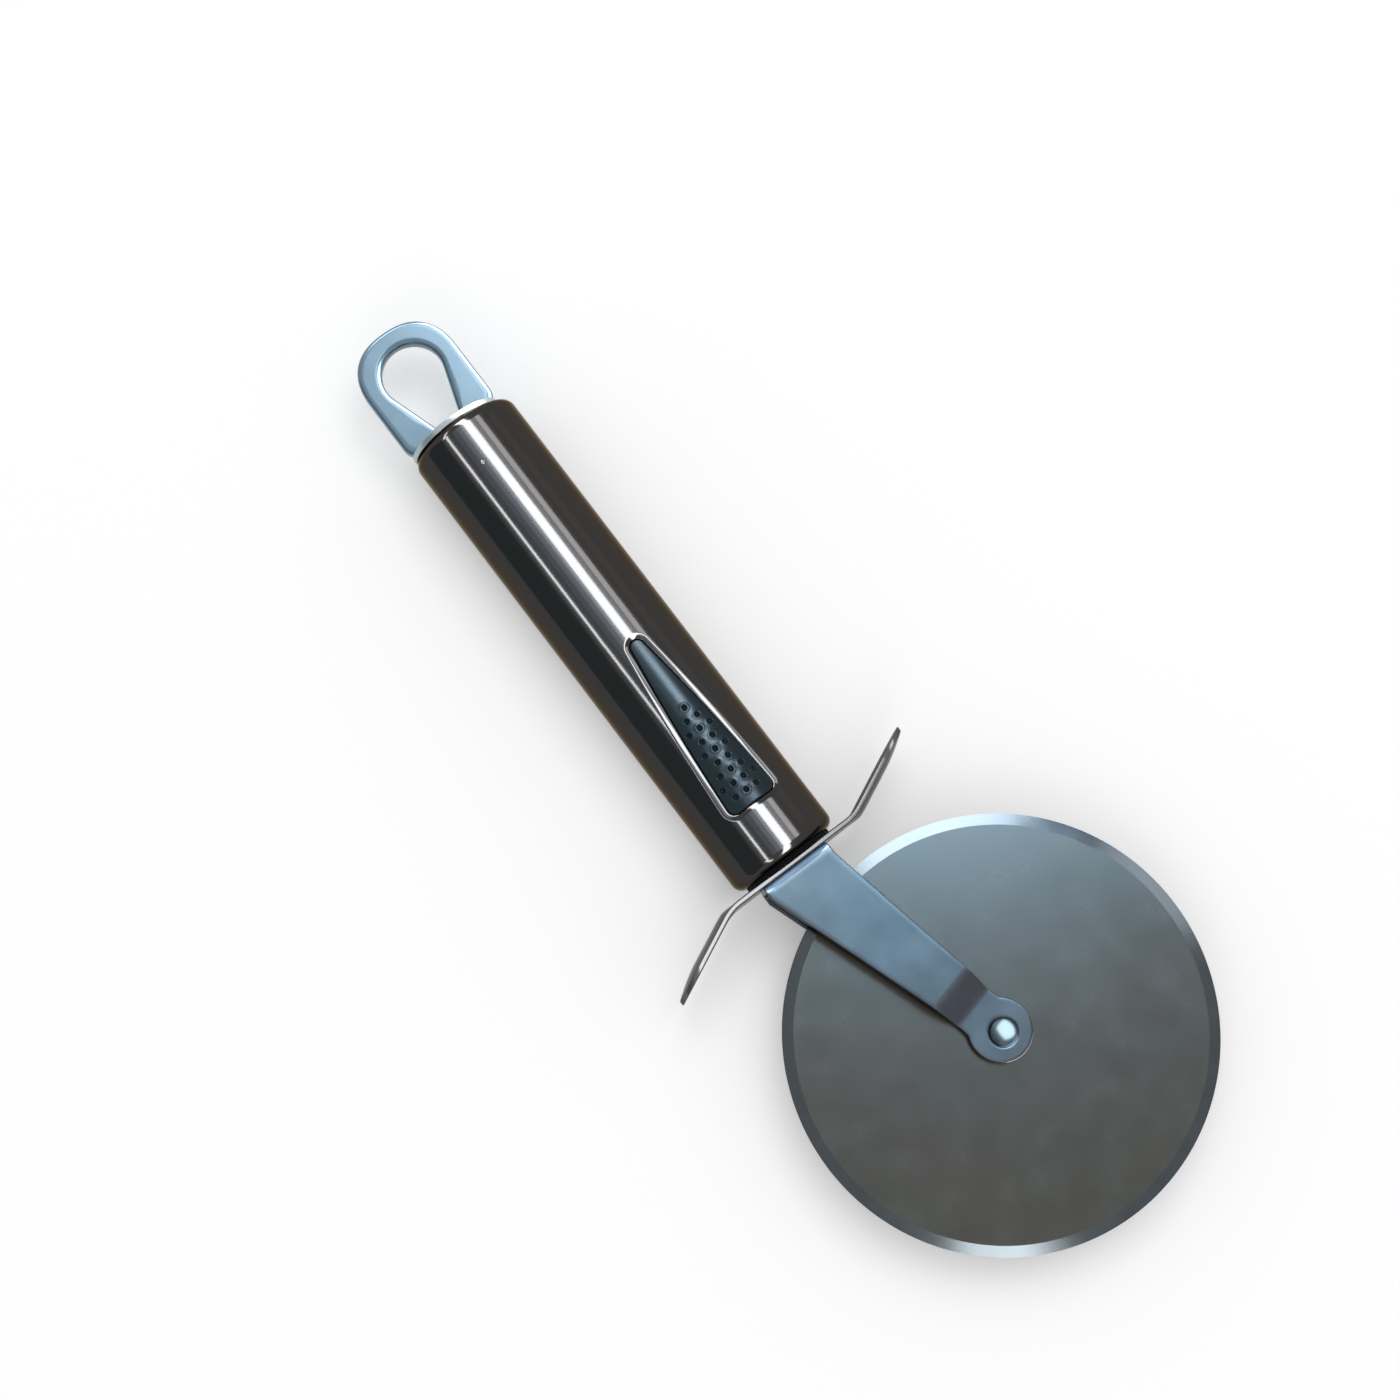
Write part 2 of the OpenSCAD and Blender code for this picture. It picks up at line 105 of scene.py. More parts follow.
def angle(name, description, degrees):
    """An angle that a user can change."""
    return FloatProperty(name=name, description=description, default=math.radians(degrees), unit="ROTATION")


def colour(name, description, value):
    """A colour that a user can change, given as sRGB hex."""
    return FloatVectorProperty(name=name, description=description, subtype="COLOR", size=3,
                               min=0, max=1, default=linear(value))


class HandleSizes(PropertyGroup):
    """Sizes of the tube, its pressed pocket and the soft insert."""
    tube_r: length("Tube radius", "Outside radius of the tube", SHELL[1].z)
    tail_x: length("Tail end", "Where the tube ends at the loop", SHELL[0].x)
    front_x: length("Front end", "Where the tube ends at the guard", SHELL[1].x)
    corner_r: mm("Corner radius", "Radius of the spun corners", 2.6)
    mouth_r: mm("Mouth radius", "Radius of the opening in each spun end", 9.55)
    wall: mm("Wall", "Thickness of the tube", 0.7)
    pocket_x0: mm("Pocket tip", "Where the pocket's narrow tip ends", 3)
    pocket_x1: mm("Pocket end", "Where the pocket's wide end lies", 48.9)
    pocket_w: mm("Pocket width", "Width of the pocket's wide end", 12.9)
    tip_r: mm("Tip radius", "Radius of the pocket's narrow tip", 1.9)
    end_r: mm("End radius", "Radius of the wide end's corners", 2)
    bow: mm("Side bow", "How far each long side bows outwards", 0.4)
    depth: mm("Pocket depth", "Depth of the pocket under the surface", 2.2)
    lip_w: mm("Lip width", "Width of the rolled slope round the pocket", 1.45)
    lip_h: mm("Lip height", "Height of the rolled slope and its inner edge", 0.95)
    turn: angle("Pocket turn", "Turn of the pocket about the handle", 4)
    recess: mm("Insert recess", "How far the insert lies below the tube", 0.45)
    gap: mm("Insert gap", "Clearance round the insert", 0.08)
    edge_r: mm("Insert edge", "Radius of the insert's moulded edge", 0.3)
    dimple_r: mm("Dimple radius", "Radius of a dimple's mouth", 0.72)
    dimple_depth: mm("Dimple depth", "Depth of a dimple", 0.6)
    dimple_rim: mm("Dimple rim", "Height of the raised rubber round a dimple", 0.03)
    dimple_pitch: mm("Row distance", "Distance between rows of dimples", 2.9)
    dimple_step: mm("Column distance", "Distance between dimples in a row", 3.1)
    dimple_rows: IntProperty(name="Rows", description="Rows of dimples", default=9)
    punch_x: mm("Punch mark", "Where the punch mark lies along the tube", -50.8)
    punch_r: mm("Punch radius", "Radius of the punch mark", 0.6)
    punch_depth: mm("Punch depth", "Depth of the punch mark", 0.25)
    punch_turn: angle("Punch turn", "Turn of the punch mark about the handle", -6)


class GuardSizes(PropertyGroup):
    """Sizes of the bent guard strip."""
    x: mm("Middle", "Where the middle of the strip's thickness lies", 64.65)
    width: length("Width", "Width of the strip", GUARD[1].z - GUARD[0].z)
    thick: mm("Thickness", "Thickness of the strip", 1.3)
    flat: mm("Flat", "Half the length of the flat middle", 15)
    bend_r: mm("Bend radius", "Middle radius of each bend", 11.65)
    bend: angle("Bend angle", "Angle of each wing", 25)
    reach: length("Reach", "How far each wing reaches to the side", GUARD[1].y)
    dish: mm("Dish", "Depth of the dish across each wing", 1.2)
    ramp: mm("Dish run", "Length over which the dish grows at a bend", 6)
    edge_r: mm("Edge radius", "Radius of the rounded edges", 0.35)


class ForkSizes(PropertyGroup):
    """Sizes of the fork, bent from one strip."""
    web_x: length("Web", "Where the web's back face lies", FORK[0].x)
    thick: mm("Thickness", "Thickness of the strip", 1.3)
    height: length("Height", "Half the height over both arms", FORK[1].z)
    root_w: mm("Root width", "Width of the arm at its root", 18)
    neck_w: mm("Neck width", "Width of the arm at its neck", 11)
    web_bend_r: mm("Web bend", "Outside radius of the bend at the web", 2.2)
    skew: angle("Skew", "Angle between the arms and the handle", 14.3)
    pad_r: mm("Pad radius", "Radius of the round pad", 7.4)
    pad_back: mm("Pad offset", "How far the pad's middle lies before the axle", 0.9)
    pad_z: mm("Pad height", "Height of the pad's inner face", 1.65)
    joggle: angle("Joggle", "Slope of the joggle", 37)
    joggle_r: mm("Joggle radius", "Middle radius of the joggle's bends", 4)
    sink_r: mm("Sink radius", "Radius of the sink round the rivet's head", 3.47)
    sink_depth: mm("Sink depth", "Depth of the sink", 0.39)
    hole_r: mm("Hole radius", "Radius of the rivet's hole", 2.55)
    edge_r: mm("Edge radius", "Radius of the rounded edges", 0.35)


class WheelSizes(PropertyGroup):
    """Sizes of the cutting wheel and its rivet."""
    radius: length("Wheel radius", "Radius of the wheel", (WHEEL[1].x - WHEEL[0].x) / 2)
    thick: length("Thickness", "Thickness of the wheel", WHEEL[1].z - WHEEL[0].z)
    bevel: mm("Bevel", "Width of the ground bevel", 2.6)
    edge: mm("Edge", "Thickness left at the cutting edge", 0.16)
    hole_r: mm("Hole radius", "Radius of the hole", 3.65)
    rivet_r: mm("Rivet radius", "Radius of the rivet's shank", 2.5)
    head_r: mm("Head radius", "Radius of the rivet's head", 2.95)
    head_h: mm("Head height", "Height of the rivet's head", 1.2)
    tail_r: mm("Tail radius", "Radius of the rivet's tail", 3.6)
    tail_h: mm("Tail height", "Height of the rivet's tail", 0.84)
    pad_z: mm("Pad face", "Height of the pads' outer faces", 2.95)


class LoopSizes(PropertyGroup):
    """Sizes of the cast end piece with its hanging loop."""
    width: length("Width", "Width of the loop", LOOP[1].y - LOOP[0].y)
    shift: length("Shift", "How far the loop and its flange stand off the handle's axis", (LOOP[0].y + LOOP[1].y) / 2)
    thick: mm("Thickness", "Thickness of the loop", 4)
    end_x: length("End", "Where the loop ends", LOOP[0].x)
    power: FloatProperty(name="Squareness", description="Power of the loop's square-round end", default=2.4)
    flange_x: mm("Flange", "Where the flange's outer face lies", -64.5)
    flange_t: mm("Flange thickness", "Thickness of the flange", 1.5)
    flange_r: mm("Flange radius", "Radius of the flange", 12)
    shoulder_r: mm("Shoulder", "Radius of the shoulder at the flange", 2.2)
    hole_x: mm("Hole", "Where the hole's round end is centred", -80.7)
    hole_r: mm("Hole radius", "Radius of the hole's round end", 7.4)
    foot_x: mm("Hole foot", "Where the hole's narrow foot lies", -66)
    foot_w: mm("Foot width", "Width of the hole's narrow foot", 5.92)
    spigot_r: mm("Spigot radius", "Radius of the spigot in the tail plug", 5)
    spigot_len: mm("Spigot length", "Length of the spigot", 14)
    edge_r: mm("Edge radius", "Radius of the rounded edges", 1.2)


class Colours(PropertyGroup):
    """Colours of the finishes."""
    # The tube's dark colour is a painted reflection of a dark room, not the steel's own tone
    tube: colour("Tube", "Polished stainless steel that mirrors a dark room", "383736")
    rubber: colour("Rubber", "Moulded rubber of the insert", "0f2229")
    # The steel colours from here to the rivet's are darker than bare steel: a painted reflection of a dark room
    arm: colour("Fork", "Satin stainless sheet", "42464d")
    arm_warm: colour("Fork drifts", "Warmer drifts in the satin sheet", "46474b")
    guard: colour("Guard", "Polished stainless sheet", "5e5f60")
    wheel: colour("Wheel", "Ground stainless sheet", "45443e")
    wheel_warm: colour("Wheel drifts", "Warmer drifts in the ground sheet", "46433d")
    bevel: colour("Bevel", "Ground bevel", "464b4e")
    rivet: colour("Rivet", "Bright steel", "4f5c61")
    # The loop's blue is a painted reflection of a bluish ceiling on grey alloy
    alloy: colour("Loop", "Satin cast alloy", "657a89")
    rim: colour("Loop's flange", "Turned rim of the cast end piece", "a6b0b4")
    plastic: colour("Plug", "Moulded plastic", "1b1c1d")
    seal: colour("Seal", "Black rubber of the ring under the guard", "0a0b0c")
    plated: colour("Fixings", "Plated steel", "9c9ea0")
    brass: colour("Brass", "Turned brass", "b99a58")


class StageValues(PropertyGroup):
    """Floor, light levels and camera."""
    floor: colour("Floor", "Plain pale floor", "f2f2f2")
    floor_lift: FloatProperty(name="Floor lift", description="Brightness added to the floor for the eye", default=0.25)
    fill: FloatProperty(name="Fill", description="Brightness of the surroundings on matt surfaces", default=0.55)
    key: FloatProperty(name="Key", description="Brightness of the large soft lamp", default=1.8)
    lens: FloatProperty(name="Lens", description="Focal length in millimetres", default=61.74)
    camera_at: FloatVectorProperty(name="Camera", description="Place of the camera", subtype="TRANSLATION",
                                   default=(0.08326, -0.05701, 0.54875))
    camera_right: FloatVectorProperty(name="Camera right", description="Direction of the picture's right",
                                      default=(0.603, 0.797, 0.024))
    camera_back: FloatVectorProperty(name="Camera back", description="Direction away from what is seen",
                                     default=(0.111, -0.114, 0.987))


def arc(centre, r, start, end, count):
    """Points of a circle's arc, at angles in degrees that rise evenly from start to end."""
    a = np.radians(np.linspace(start, end, count))
    return np.stack([centre[0] + r * np.cos(a), centre[1] + r * np.sin(a)], -1)


def closed(rows):
    """The same grid with its first column repeated at the end."""
    return np.concatenate([rows, rows[:, :1]], 1)


def revolve(profile, centre, axis, count):
    """Surface of revolution: a point at radius r and height h goes to r cos a, r sin a, h round the axis."""
    a = np.linspace(0, 2 * np.pi, count + 1)
    r, h = profile[:, :1], profile[:, 1:] + 0 * a
    points = np.stack([r * np.cos(a), r * np.sin(a), h], -1)
    return (points[..., [2, 0, 1]] if axis == "X" else points) + np.array(centre)


def outward(curve):
    """Unit normals of a closed curve in a plane, on the outside of one that runs anticlockwise."""
    along = np.roll(curve, -1, 0) - np.roll(curve, 1, 0)
    along /= np.linalg.norm(along, axis=1, keepdims=True)
    return np.stack([along[:, 1], -along[:, 0]], -1)


def linked(name, data):
    """Object with that data in the scene."""
    thing = bpy.data.objects.new(name, data)
    bpy.context.scene.collection.objects.link(thing)
    return thing


def cutter_object(name, grids, body, node, finishes, kinds=None, crease=None):
    """Object from grids of points: neighbours become quads, points that meet are merged, and the faces are
    turned outwards. kinds numbers each grid's finish, and an edge steeper than crease degrees looks sharp."""
    points, quads, kind_of, first = [], [], [], 0
    for grid, kind in zip(grids, kinds or [0] * len(grids)):
        rows, cols = grid.shape[:2]
        index = first + np.arange(rows * cols).reshape(rows, cols)
        quad = np.stack([index[:-1, :-1], index[1:, :-1], index[1:, 1:], index[:-1, 1:]], -1).reshape(-1, 4)
        points.append(grid.reshape(-1, 3))
        quads.append(quad)
        kind_of.append(np.full(len(quad), kind))
        first += rows * cols
    points, quads = np.concatenate(points), np.concatenate(quads)
    mesh = bpy.data.meshes.new(name)
    mesh.from_pydata(points.tolist(), [], quads.tolist())
    for finish_name in finishes:
        mesh.materials.append(finish(finish_name))
    mesh.polygons.foreach_set("material_index", np.concatenate(kind_of).astype(np.int32))
    soup = bmesh.new()
    soup.from_mesh(mesh)
    bmesh.ops.remove_doubles(soup, verts=soup.verts, dist=MERGE)
    bmesh.ops.recalc_face_normals(soup, faces=soup.faces)
    soup.to_mesh(mesh)
    soup.free()
    mesh.shade_smooth()
    if crease:
        mesh.set_sharp_from_angle(angle=math.radians(crease))
    piece = linked(name, mesh)
    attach(piece, body)
    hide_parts(node)
    return piece


def add(tree, kind, settings, links=()):
    """Adds a node, sets its attributes and sockets by name, and links other nodes' outputs to its inputs."""
    node = tree.nodes.new(kind)
    for key, value in settings.items():
        if key in node.inputs:
            node.inputs[key].default_value = value
        else:
            setattr(node, key, value)
    for socket, output in dict(links).items():
        tree.links.new(output, node.inputs[socket])
    return node


def bare_material(name):
    """Material without nodes, and its tree."""
    material = bpy.data.materials.new(name)
    material.use_nodes = True
    material.node_tree.nodes.clear()
    return material, material.node_tree


def new_finish(name, settings):
    """Material whose shader has the given constants, with its tree, its shader and its object coordinates."""
    material, tree = bare_material(name)
    shader = add(tree, "ShaderNodeBsdfPrincipled", settings)
    add(tree, "ShaderNodeOutputMaterial", {}, {"Surface": shader.outputs["BSDF"]})
    return material, tree, shader, add(tree, "ShaderNodeTexCoord", {}).outputs["Object"]


def paint(key):
    """Colour of that name in the panel."""
    return tuple(getattr(bpy.context.scene.cutter_colours, key))


def spun_stainless(name, tint):
    """Stainless steel tube, spun and polished: a mirror with faint lines drawn along the handle."""
    # Its dark base colour is a painted reflection of a dark room
    material, tree, shader, place = new_finish(name, {"Metallic": 1, "Base Color": (*paint(tint), 1),
                                                      "Specular Tint": BROWN_REFLECTION_RIM})
    # Polishing lines 0.5 mm apart and 60 mm long, coarser than real ones so that they show
    lines = add(tree, "ShaderNodeMapping", {"Scale": (16, 2000, 2000)}, {"Vector": place})
    grain = add(tree, "ShaderNodeTexNoise", {"Scale": 1, "Detail": 3, "Roughness": 0.6},
                {"Vector": lines.outputs["Vector"]})
    rough = add(tree, "ShaderNodeMapRange", {**MOST, "To Min": 0.09, "To Max": 0.14},
                {"Value": grain.outputs["Fac"]})
    tree.links.new(rough.outputs["Result"], shader.inputs["Roughness"])
    bump = add(tree, "ShaderNodeBump", {"Strength": 0.03, "Distance": 0.01 * MM}, {"Height": grain.outputs["Fac"]})
    tree.links.new(bump.outputs["Normal"], shader.inputs["Normal"])
    return material


def moulded_rubber(name, tint):
    """Black moulded rubber: a soft light on clouds of 4 mm and a fine grain of 0.3 mm from the mould."""
    material, tree, shader, place = new_finish(name, {"Roughness": 0.22, "Specular IOR Level": 0.2})
    cloud = add(tree, "ShaderNodeTexNoise", {"Scale": 250, "Detail": 3}, {"Vector": place})
    tone = add(tree, "ShaderNodeMapRange", {"To Min": 0.75, "To Max": 1.25}, {"Value": cloud.outputs["Fac"]})
    shade = add(tree, "ShaderNodeVectorMath", {"operation": "SCALE", "Vector": paint(tint)},
                {"Scale": tone.outputs["Result"]})
    tree.links.new(shade.outputs["Vector"], shader.inputs["Base Color"])
    grain = add(tree, "ShaderNodeTexNoise", {"Scale": 3000, "Detail": 2}, {"Vector": place})
    bump = add(tree, "ShaderNodeBump", {"Strength": 0.25, "Distance": 0.03 * MM}, {"Height": grain.outputs["Fac"]})
    tree.links.new(bump.outputs["Normal"], shader.inputs["Normal"])
    return material


def matt_black(name, tint, rough, sheen):
    """Matt black plastic or rubber that is hardly seen, with a faint grain of 0.7 mm. rough is the range of its
    roughness and sheen the strength of its gloss."""
    material, tree, shader, place = new_finish(name, {"Base Color": (*paint(tint), 1), "Specular IOR Level": sheen})
    grain = add(tree, "ShaderNodeTexNoise", {"Scale": 1500, "Detail": 2}, {"Vector": place})
    matt = add(tree, "ShaderNodeMapRange", {"To Min": rough[0], "To Max": rough[1]}, {"Value": grain.outputs["Fac"]})
    tree.links.new(matt.outputs["Result"], shader.inputs["Roughness"])
    return material


def satin_sheet(name, tint, rough, drifts=None, spread=0.07, grain=0.12, rim=1.0):
    """Satin sheet metal: clouds of 8 mm from rolling over a fine grain of 0.4 mm, and where a second colour
    is named, drifts of 40 mm between the two. rough is the range of its roughness, spread how far a cloud's
    tone differs, grain the strength of the grain, and rim how much of the glow at grazing angles is left."""
    material, tree, shader, place = new_finish(name, {"Metallic": 1, "Specular Tint": (rim, rim, rim, 1)})
    cloud = add(tree, "ShaderNodeTexNoise", {"Scale": 120, "Detail": 4, "Roughness": 0.55}, {"Vector": place})
    tone = add(tree, "ShaderNodeMapRange", {**MOST, "To Min": 1 - spread, "To Max": 1 + spread},
               {"Value": cloud.outputs["Fac"]})
    shade = add(tree, "ShaderNodeVectorMath", {"operation": "SCALE", "Vector": paint(tint)},
                {"Scale": tone.outputs["Result"]})
    if drifts:
        drift = add(tree, "ShaderNodeTexNoise", {"Scale": 25, "Detail": 2}, {"Vector": place})
        share = add(tree, "ShaderNodeMapRange", {"From Min": 0.35, "From Max": 0.65}, {"Value": drift.outputs["Fac"]})
        both = add(tree, "ShaderNodeMix", {"data_type": "VECTOR"}, {0: share.outputs["Result"]})
        both.inputs[4].default_value, both.inputs[5].default_value = paint(tint), paint(drifts)
        tree.links.new(both.outputs[1], shade.inputs[0])
    tree.links.new(shade.outputs["Vector"], shader.inputs["Base Color"])
    matt = add(tree, "ShaderNodeMapRange", {**MOST, "To Min": rough[0], "To Max": rough[1]},
               {"Value": cloud.outputs["Fac"]})
    tree.links.new(matt.outputs["Result"], shader.inputs["Roughness"])
    fine = add(tree, "ShaderNodeTexNoise", {"Scale": 2500, "Detail": 2}, {"Vector": place})
    bump = add(tree, "ShaderNodeBump", {"Strength": grain, "Distance": 0.02 * MM}, {"Height": fine.outputs["Fac"]})
    tree.links.new(bump.outputs["Normal"], shader.inputs["Normal"])
    return material


# Most of a noise's strength lies in this range
MOST = {"From Min": 0.3, "From Max": 0.7}
# What the tube keeps of the glow at grazing angles: less of it, and tinted brown as a painted reflection of brown
# surroundings
BROWN_REFLECTION_RIM = (0.64, 0.57, 0.5, 1)
# How each finish is made, its colour in the panel and its settings
FINISHES = {
    # A mirror darkened by a painted reflection of a dark room, with long faint lines
    "spun_stainless": (spun_stainless, "tube", {}),
    # Near black with one broad soft light
    "moulded_rubber": (moulded_rubber, "rubber", {}),
    # Soft bluish light that drifts to a warmer grey
    "satin_fork": (satin_sheet, "arm", {"rough": (0.3, 0.36), "drifts": "arm_warm", "spread": 0.12}),
    # Clear streaks of light along the bent strip
    "polished_guard": (satin_sheet, "guard", {"rough": (0.16, 0.24), "rim": 0.45}),
    # An even grey face with faint clouds
    "ground_wheel": (satin_sheet, "wheel", {"rough": (0.24, 0.28), "drifts": "wheel_warm", "spread": 0.03,
                                            "grain": 0.05}),
    # A brighter band that flashes where it meets a lamp
    "ground_bevel": (satin_sheet, "bevel", {"rough": (0.13, 0.18)}),
    # A round white light on the domed head
    "bright_rivet": (satin_sheet, "rivet", {"rough": (0.26, 0.3)}),
    # Pale blue-grey with light edges; the blue is a painted reflection of a bluish ceiling
    "satin_alloy": (satin_sheet, "alloy", {"rough": (0.18, 0.22), "grain": 0.05}),
    # A pale rim round the loop's foot
    "turned_rim": (satin_sheet, "rim", {"rough": (0.24, 0.3), "grain": 0.05}),
    # Dull dark parts inside the tube
    "moulded_plastic": (matt_black, "plastic", {"rough": (0.45, 0.6), "sheen": 0.5}),
    # A black line under the guard
    "seal_rubber": (matt_black, "seal", {"rough": (0.7, 0.85), "sheen": 0.1}),
    # Grey and yellow metal of the small fixings
    "plated_steel": (satin_sheet, "plated", {"rough": (0.22, 0.32)}),
    "turned_brass": (satin_sheet, "brass", {"rough": (0.22, 0.32)}),
}


def finish(name):
    """The named finish, made once."""
    if name not in bpy.data.materials:
        maker, tint, settings = FINISHES[name]
        maker(name, tint, **settings)
    return bpy.data.materials[name]


def even_line(points, count, passes):
    """A closed line resampled at even steps and rounded by repeated averaging, with the places of its
    points along it and its length."""
    points = np.concatenate([points, points[:1]])
    s = np.concatenate([[0], np.cumsum(np.hypot(*np.diff(points, axis=0).T))])
    at = np.linspace(0, s[-1], count + 1)[:-1]
    points = np.stack([np.interp(at, s, points[:, k]) for k in (0, 1)], -1)
    for _ in range(passes):
        points = (np.roll(points, 1, 0) + 2 * points + np.roll(points, -1, 0)) / 4
    return points, at, s[-1]


def pocket_curve(h, tip_count, side_count):
    """Closed outline of the pocket, clockwise, and its outward normals: long sides with a parabolic bow,
    a half circle at the tip and quarter circles at the wide end, smoothed over half a millimetre.
    Its points fall into four runs: tip, one side, wide end, other side."""
    x0, x1, half_end = h.pocket_x0 + h.tip_r, h.pocket_x1 - h.end_r, h.pocket_w / 2
    t = np.linspace(0, 1, 300)
    side = np.stack([x0 + (x1 - x0) * t, h.tip_r + (half_end - h.tip_r) * t + 4 * h.bow * t * (1 - t)], -1)
    corner = arc((x1, half_end - h.end_r), h.end_r, 88, 0, 30)
    tip = arc((x0, 0), h.tip_r, 180, 100, 30)
    half = np.concatenate([tip, side, corner, [[h.pocket_x1, 0]]])
    line, even, whole = even_line(np.concatenate([half, (half * [1, -1])[::-1][1:-1]]), 2400, 40)
    normal = -outward(line)
    # Lengths along the outline from the tip's end to where its runs meet
    a = np.radians(98) * h.tip_r
    b = whole / 2 - (half_end - h.end_r) - np.radians(45) * h.end_r
    runs = [np.linspace(-a, a, tip_count + 1)[:-1], np.linspace(a, b, side_count + 1)[:-1],
            np.linspace(b, whole - b, tip_count + 1)[:-1], np.linspace(whole - b, whole - a, side_count + 1)[:-1]]
    where = np.concatenate(runs) % whole
    read = [np.interp(where, even, v, period=whole) for v in (*line.T, *normal.T)]
    return np.stack(read[:2], -1), np.stack(read[2:], -1)


def on_tube(h, x, phi, under):
    """Point at x along the handle and angle phi from the pocket's middle, lying under the tube's surface."""
    r, a = h.tube_r - under, phi + h.turn
    return np.stack(np.broadcast_arrays(x, r * np.sin(a), r * np.cos(a)), -1)


def middle_line(h, curve):
    """The pocket's outline pressed flat onto its middle line, short of both ends."""
    return np.stack([np.clip(curve[:, 0], h.pocket_x0 + h.tip_r, h.pocket_x1 - h.pocket_w / 2), 0 * curve[:, 0]], -1)


def pocket_rows(h, curve, normal, offsets, depths):
    """Rows of points round the pocket: the outline moved out by each offset, at each depth.
    An offset of None is the pocket's middle line."""
    rows = []
    for offset, depth in zip(offsets, depths):
        flat = middle_line(h, curve) if offset is None else curve + offset * normal
        rows.append(on_tube(h, flat[:, 0], np.arcsin(flat[:, 1] / h.tube_r), depth))
    return np.array(rows)


def dimple_relief(h, x, y):
    """Depth of the dimples at points of the insert: a bowl in each, with a low raised ring round it."""
    depth = np.zeros_like(x)
    x0, x1 = h.pocket_x0 + h.tip_r, h.pocket_x1 - h.end_r
    margin = 2 * h.dimple_r
    for row in range(h.dimple_rows):
        row_x = x1 - margin - row * h.dimple_pitch
        t = (row_x - x0) / (x1 - x0)
        room = h.tip_r + (h.pocket_w / 2 - h.tip_r) * t + 4 * h.bow * t * (1 - t) - margin
        for column in np.arange(-2, 3) + row % 2 / 2:
            col_y = column * h.dimple_step
            if abs(col_y) < room:
                r = np.hypot(x - row_x, y - col_y) / h.dimple_r
                depth += h.dimple_depth * np.clip(1 - r * r, 0, 1) ** 1.5
                depth -= h.dimple_rim * np.exp(-((r - RING_AT) / RING_WIDTH) ** 2)
    return depth


def round_edge(half, r, count=6):
    """Rounded edge of a plate from face to face, as pairs of the inset from its outline and the height."""
    a = np.radians(np.linspace(0, 90, count))
    edge = list(zip(r * (1 - np.sin(a)), half - r * (1 - np.cos(a))))
    return edge + [(inset, -lift) for inset, lift in edge[::-1]]


def plate(section, thick, edge_r, shares):
    """Closed loop of rows round a bent plate: its outer face, a rounded edge, its inner face, a rounded edge.
    section gives one row for an inset from the outline, a height off the middle and a share across."""
    down = round_edge(thick / 2, edge_r)
    rows = [(edge_r, thick / 2, v) for v in shares[:-1]]
    rows += [(inset, lift, 1) for inset, lift in down]
    rows += [(edge_r, -thick / 2, v) for v in shares[::-1][1:-1]]
    rows += [(inset, lift, -1) for inset, lift in down[::-1]]
    return np.array([section(*row) for row in rows])


class CUTTER_OT_tube(Operator):
    """Builds the handle's tube with its pressed pocket and punch mark"""
    bl_idname = "cutter.tube"
    bl_label = "Tube"

    def execute(self, context):
        h = context.scene.cutter_handle
        # The pocket lies in a rectangle of the skin, this far to either side and beyond either end
        r, span, margin = h.tube_r, math.radians(38), 3 * MM
        # Columns round the handle lie closer together over the punch mark
        mark = h.punch_turn - h.turn
        near = np.linspace(-1, 1, 13) * MARK_FINE * h.punch_r / r + mark
        across = np.linspace(-span, span, 39)
        across = np.sort(np.concatenate([across[abs(across - mark) > MARK_CLEAR * h.punch_r / r], near]))
        rest = np.linspace(span, 2 * np.pi - span, 125)
        columns = np.concatenate([across, rest[1:]])
        xa, xb = h.pocket_x0 - margin, h.pocket_x1 + margin
        along = np.linspace(xa, xb, 121)

        def spun_end(end, side):
            """Flat rim and rounded corner of one end, as x and how far the skin lies under the radius."""
            a = np.radians(np.linspace(0, 90, 15))[:, None]
            rim = np.array([[end, r - h.mouth_r]])
            corner = np.hstack([end - side * h.corner_r * (1 - np.sin(a)), h.corner_r * (1 - np.cos(a))])
            return np.concatenate([rim, corner[::-1]])

        tail, front = spun_end(h.tail_x, -1), spun_end(h.front_x, 1)
        close = h.punch_x + np.linspace(-MARK_FINE, MARK_FINE, 17) * h.punch_r
        steps = np.concatenate([np.linspace(tail[-1, 0], close[0], 6)[1:-1], close,
                                np.linspace(close[-1], xa, 18)[1:]])
        reach = np.hypot(steps[:, None] - h.punch_x, (columns[None] - mark) * r) / h.punch_r
        punch = h.punch_depth * np.clip(1 - reach, 0, 1) ** 1.3
        x = np.concatenate([tail[:, 0], steps])[:, None]
        under = np.concatenate([tail[:, 1:] + 0 * columns, punch])
        tail_grid = on_tube(h, x, columns, under)
        x = np.concatenate([np.linspace(xb, front[-1, 0], 5)[:-1], front[::-1, 0]])[:, None]
        under = np.concatenate([np.zeros(4), front[::-1, 1]])[:, None] + 0 * columns
        front_grid = on_tube(h, x, columns, under)
        back_grid = on_tube(h, along[:, None], rest, 0)
        # The pocket: floor, wall, rolled lip, then the skin out to a rectangle on the tube
        curve, normal = pocket_curve(h, len(across) - 1, len(along) - 1)
        out, down = np.array(LIP).T
        offsets = [None, -INNER_ROW, 0, *(out * h.lip_w)]
        depths = [h.depth] * 3 + [*(down * h.lip_h)]
        pocket = pocket_rows(h, curve, normal, offsets, depths)
        edge_x = np.concatenate([np.full(len(across) - 1, xa), along[:-1],
                                 np.full(len(across) - 1, xb), along[:0:-1]])
        edge_phi = np.concatenate([across[:-1], np.full(len(along) - 1, span),
                                   across[:0:-1], np.full(len(along) - 1, -span)])
        last = curve + h.lip_w * normal
        share = (np.linspace(0, 1, 11) ** 1.3)[:, None]
        skin = on_tube(h, last[:, 0] * (1 - share) + edge_x * share,
                       np.arcsin(last[:, 1] / r) * (1 - share) + edge_phi * share, 0)
        grids = [closed(tail_grid), closed(front_grid), back_grid, closed(pocket), closed(skin)]
        piece = cutter_object("handle_tube", grids, "handle", "handle_shell", ["spun_stainless"])
        # A little thinner than the solid's wall, so that what lies inside stays clear of it
        wall = piece.modifiers.new("wall", "SOLIDIFY")
        wall.thickness = h.wall * 0.9
        wall.offset = -1
        return {"FINISHED"}


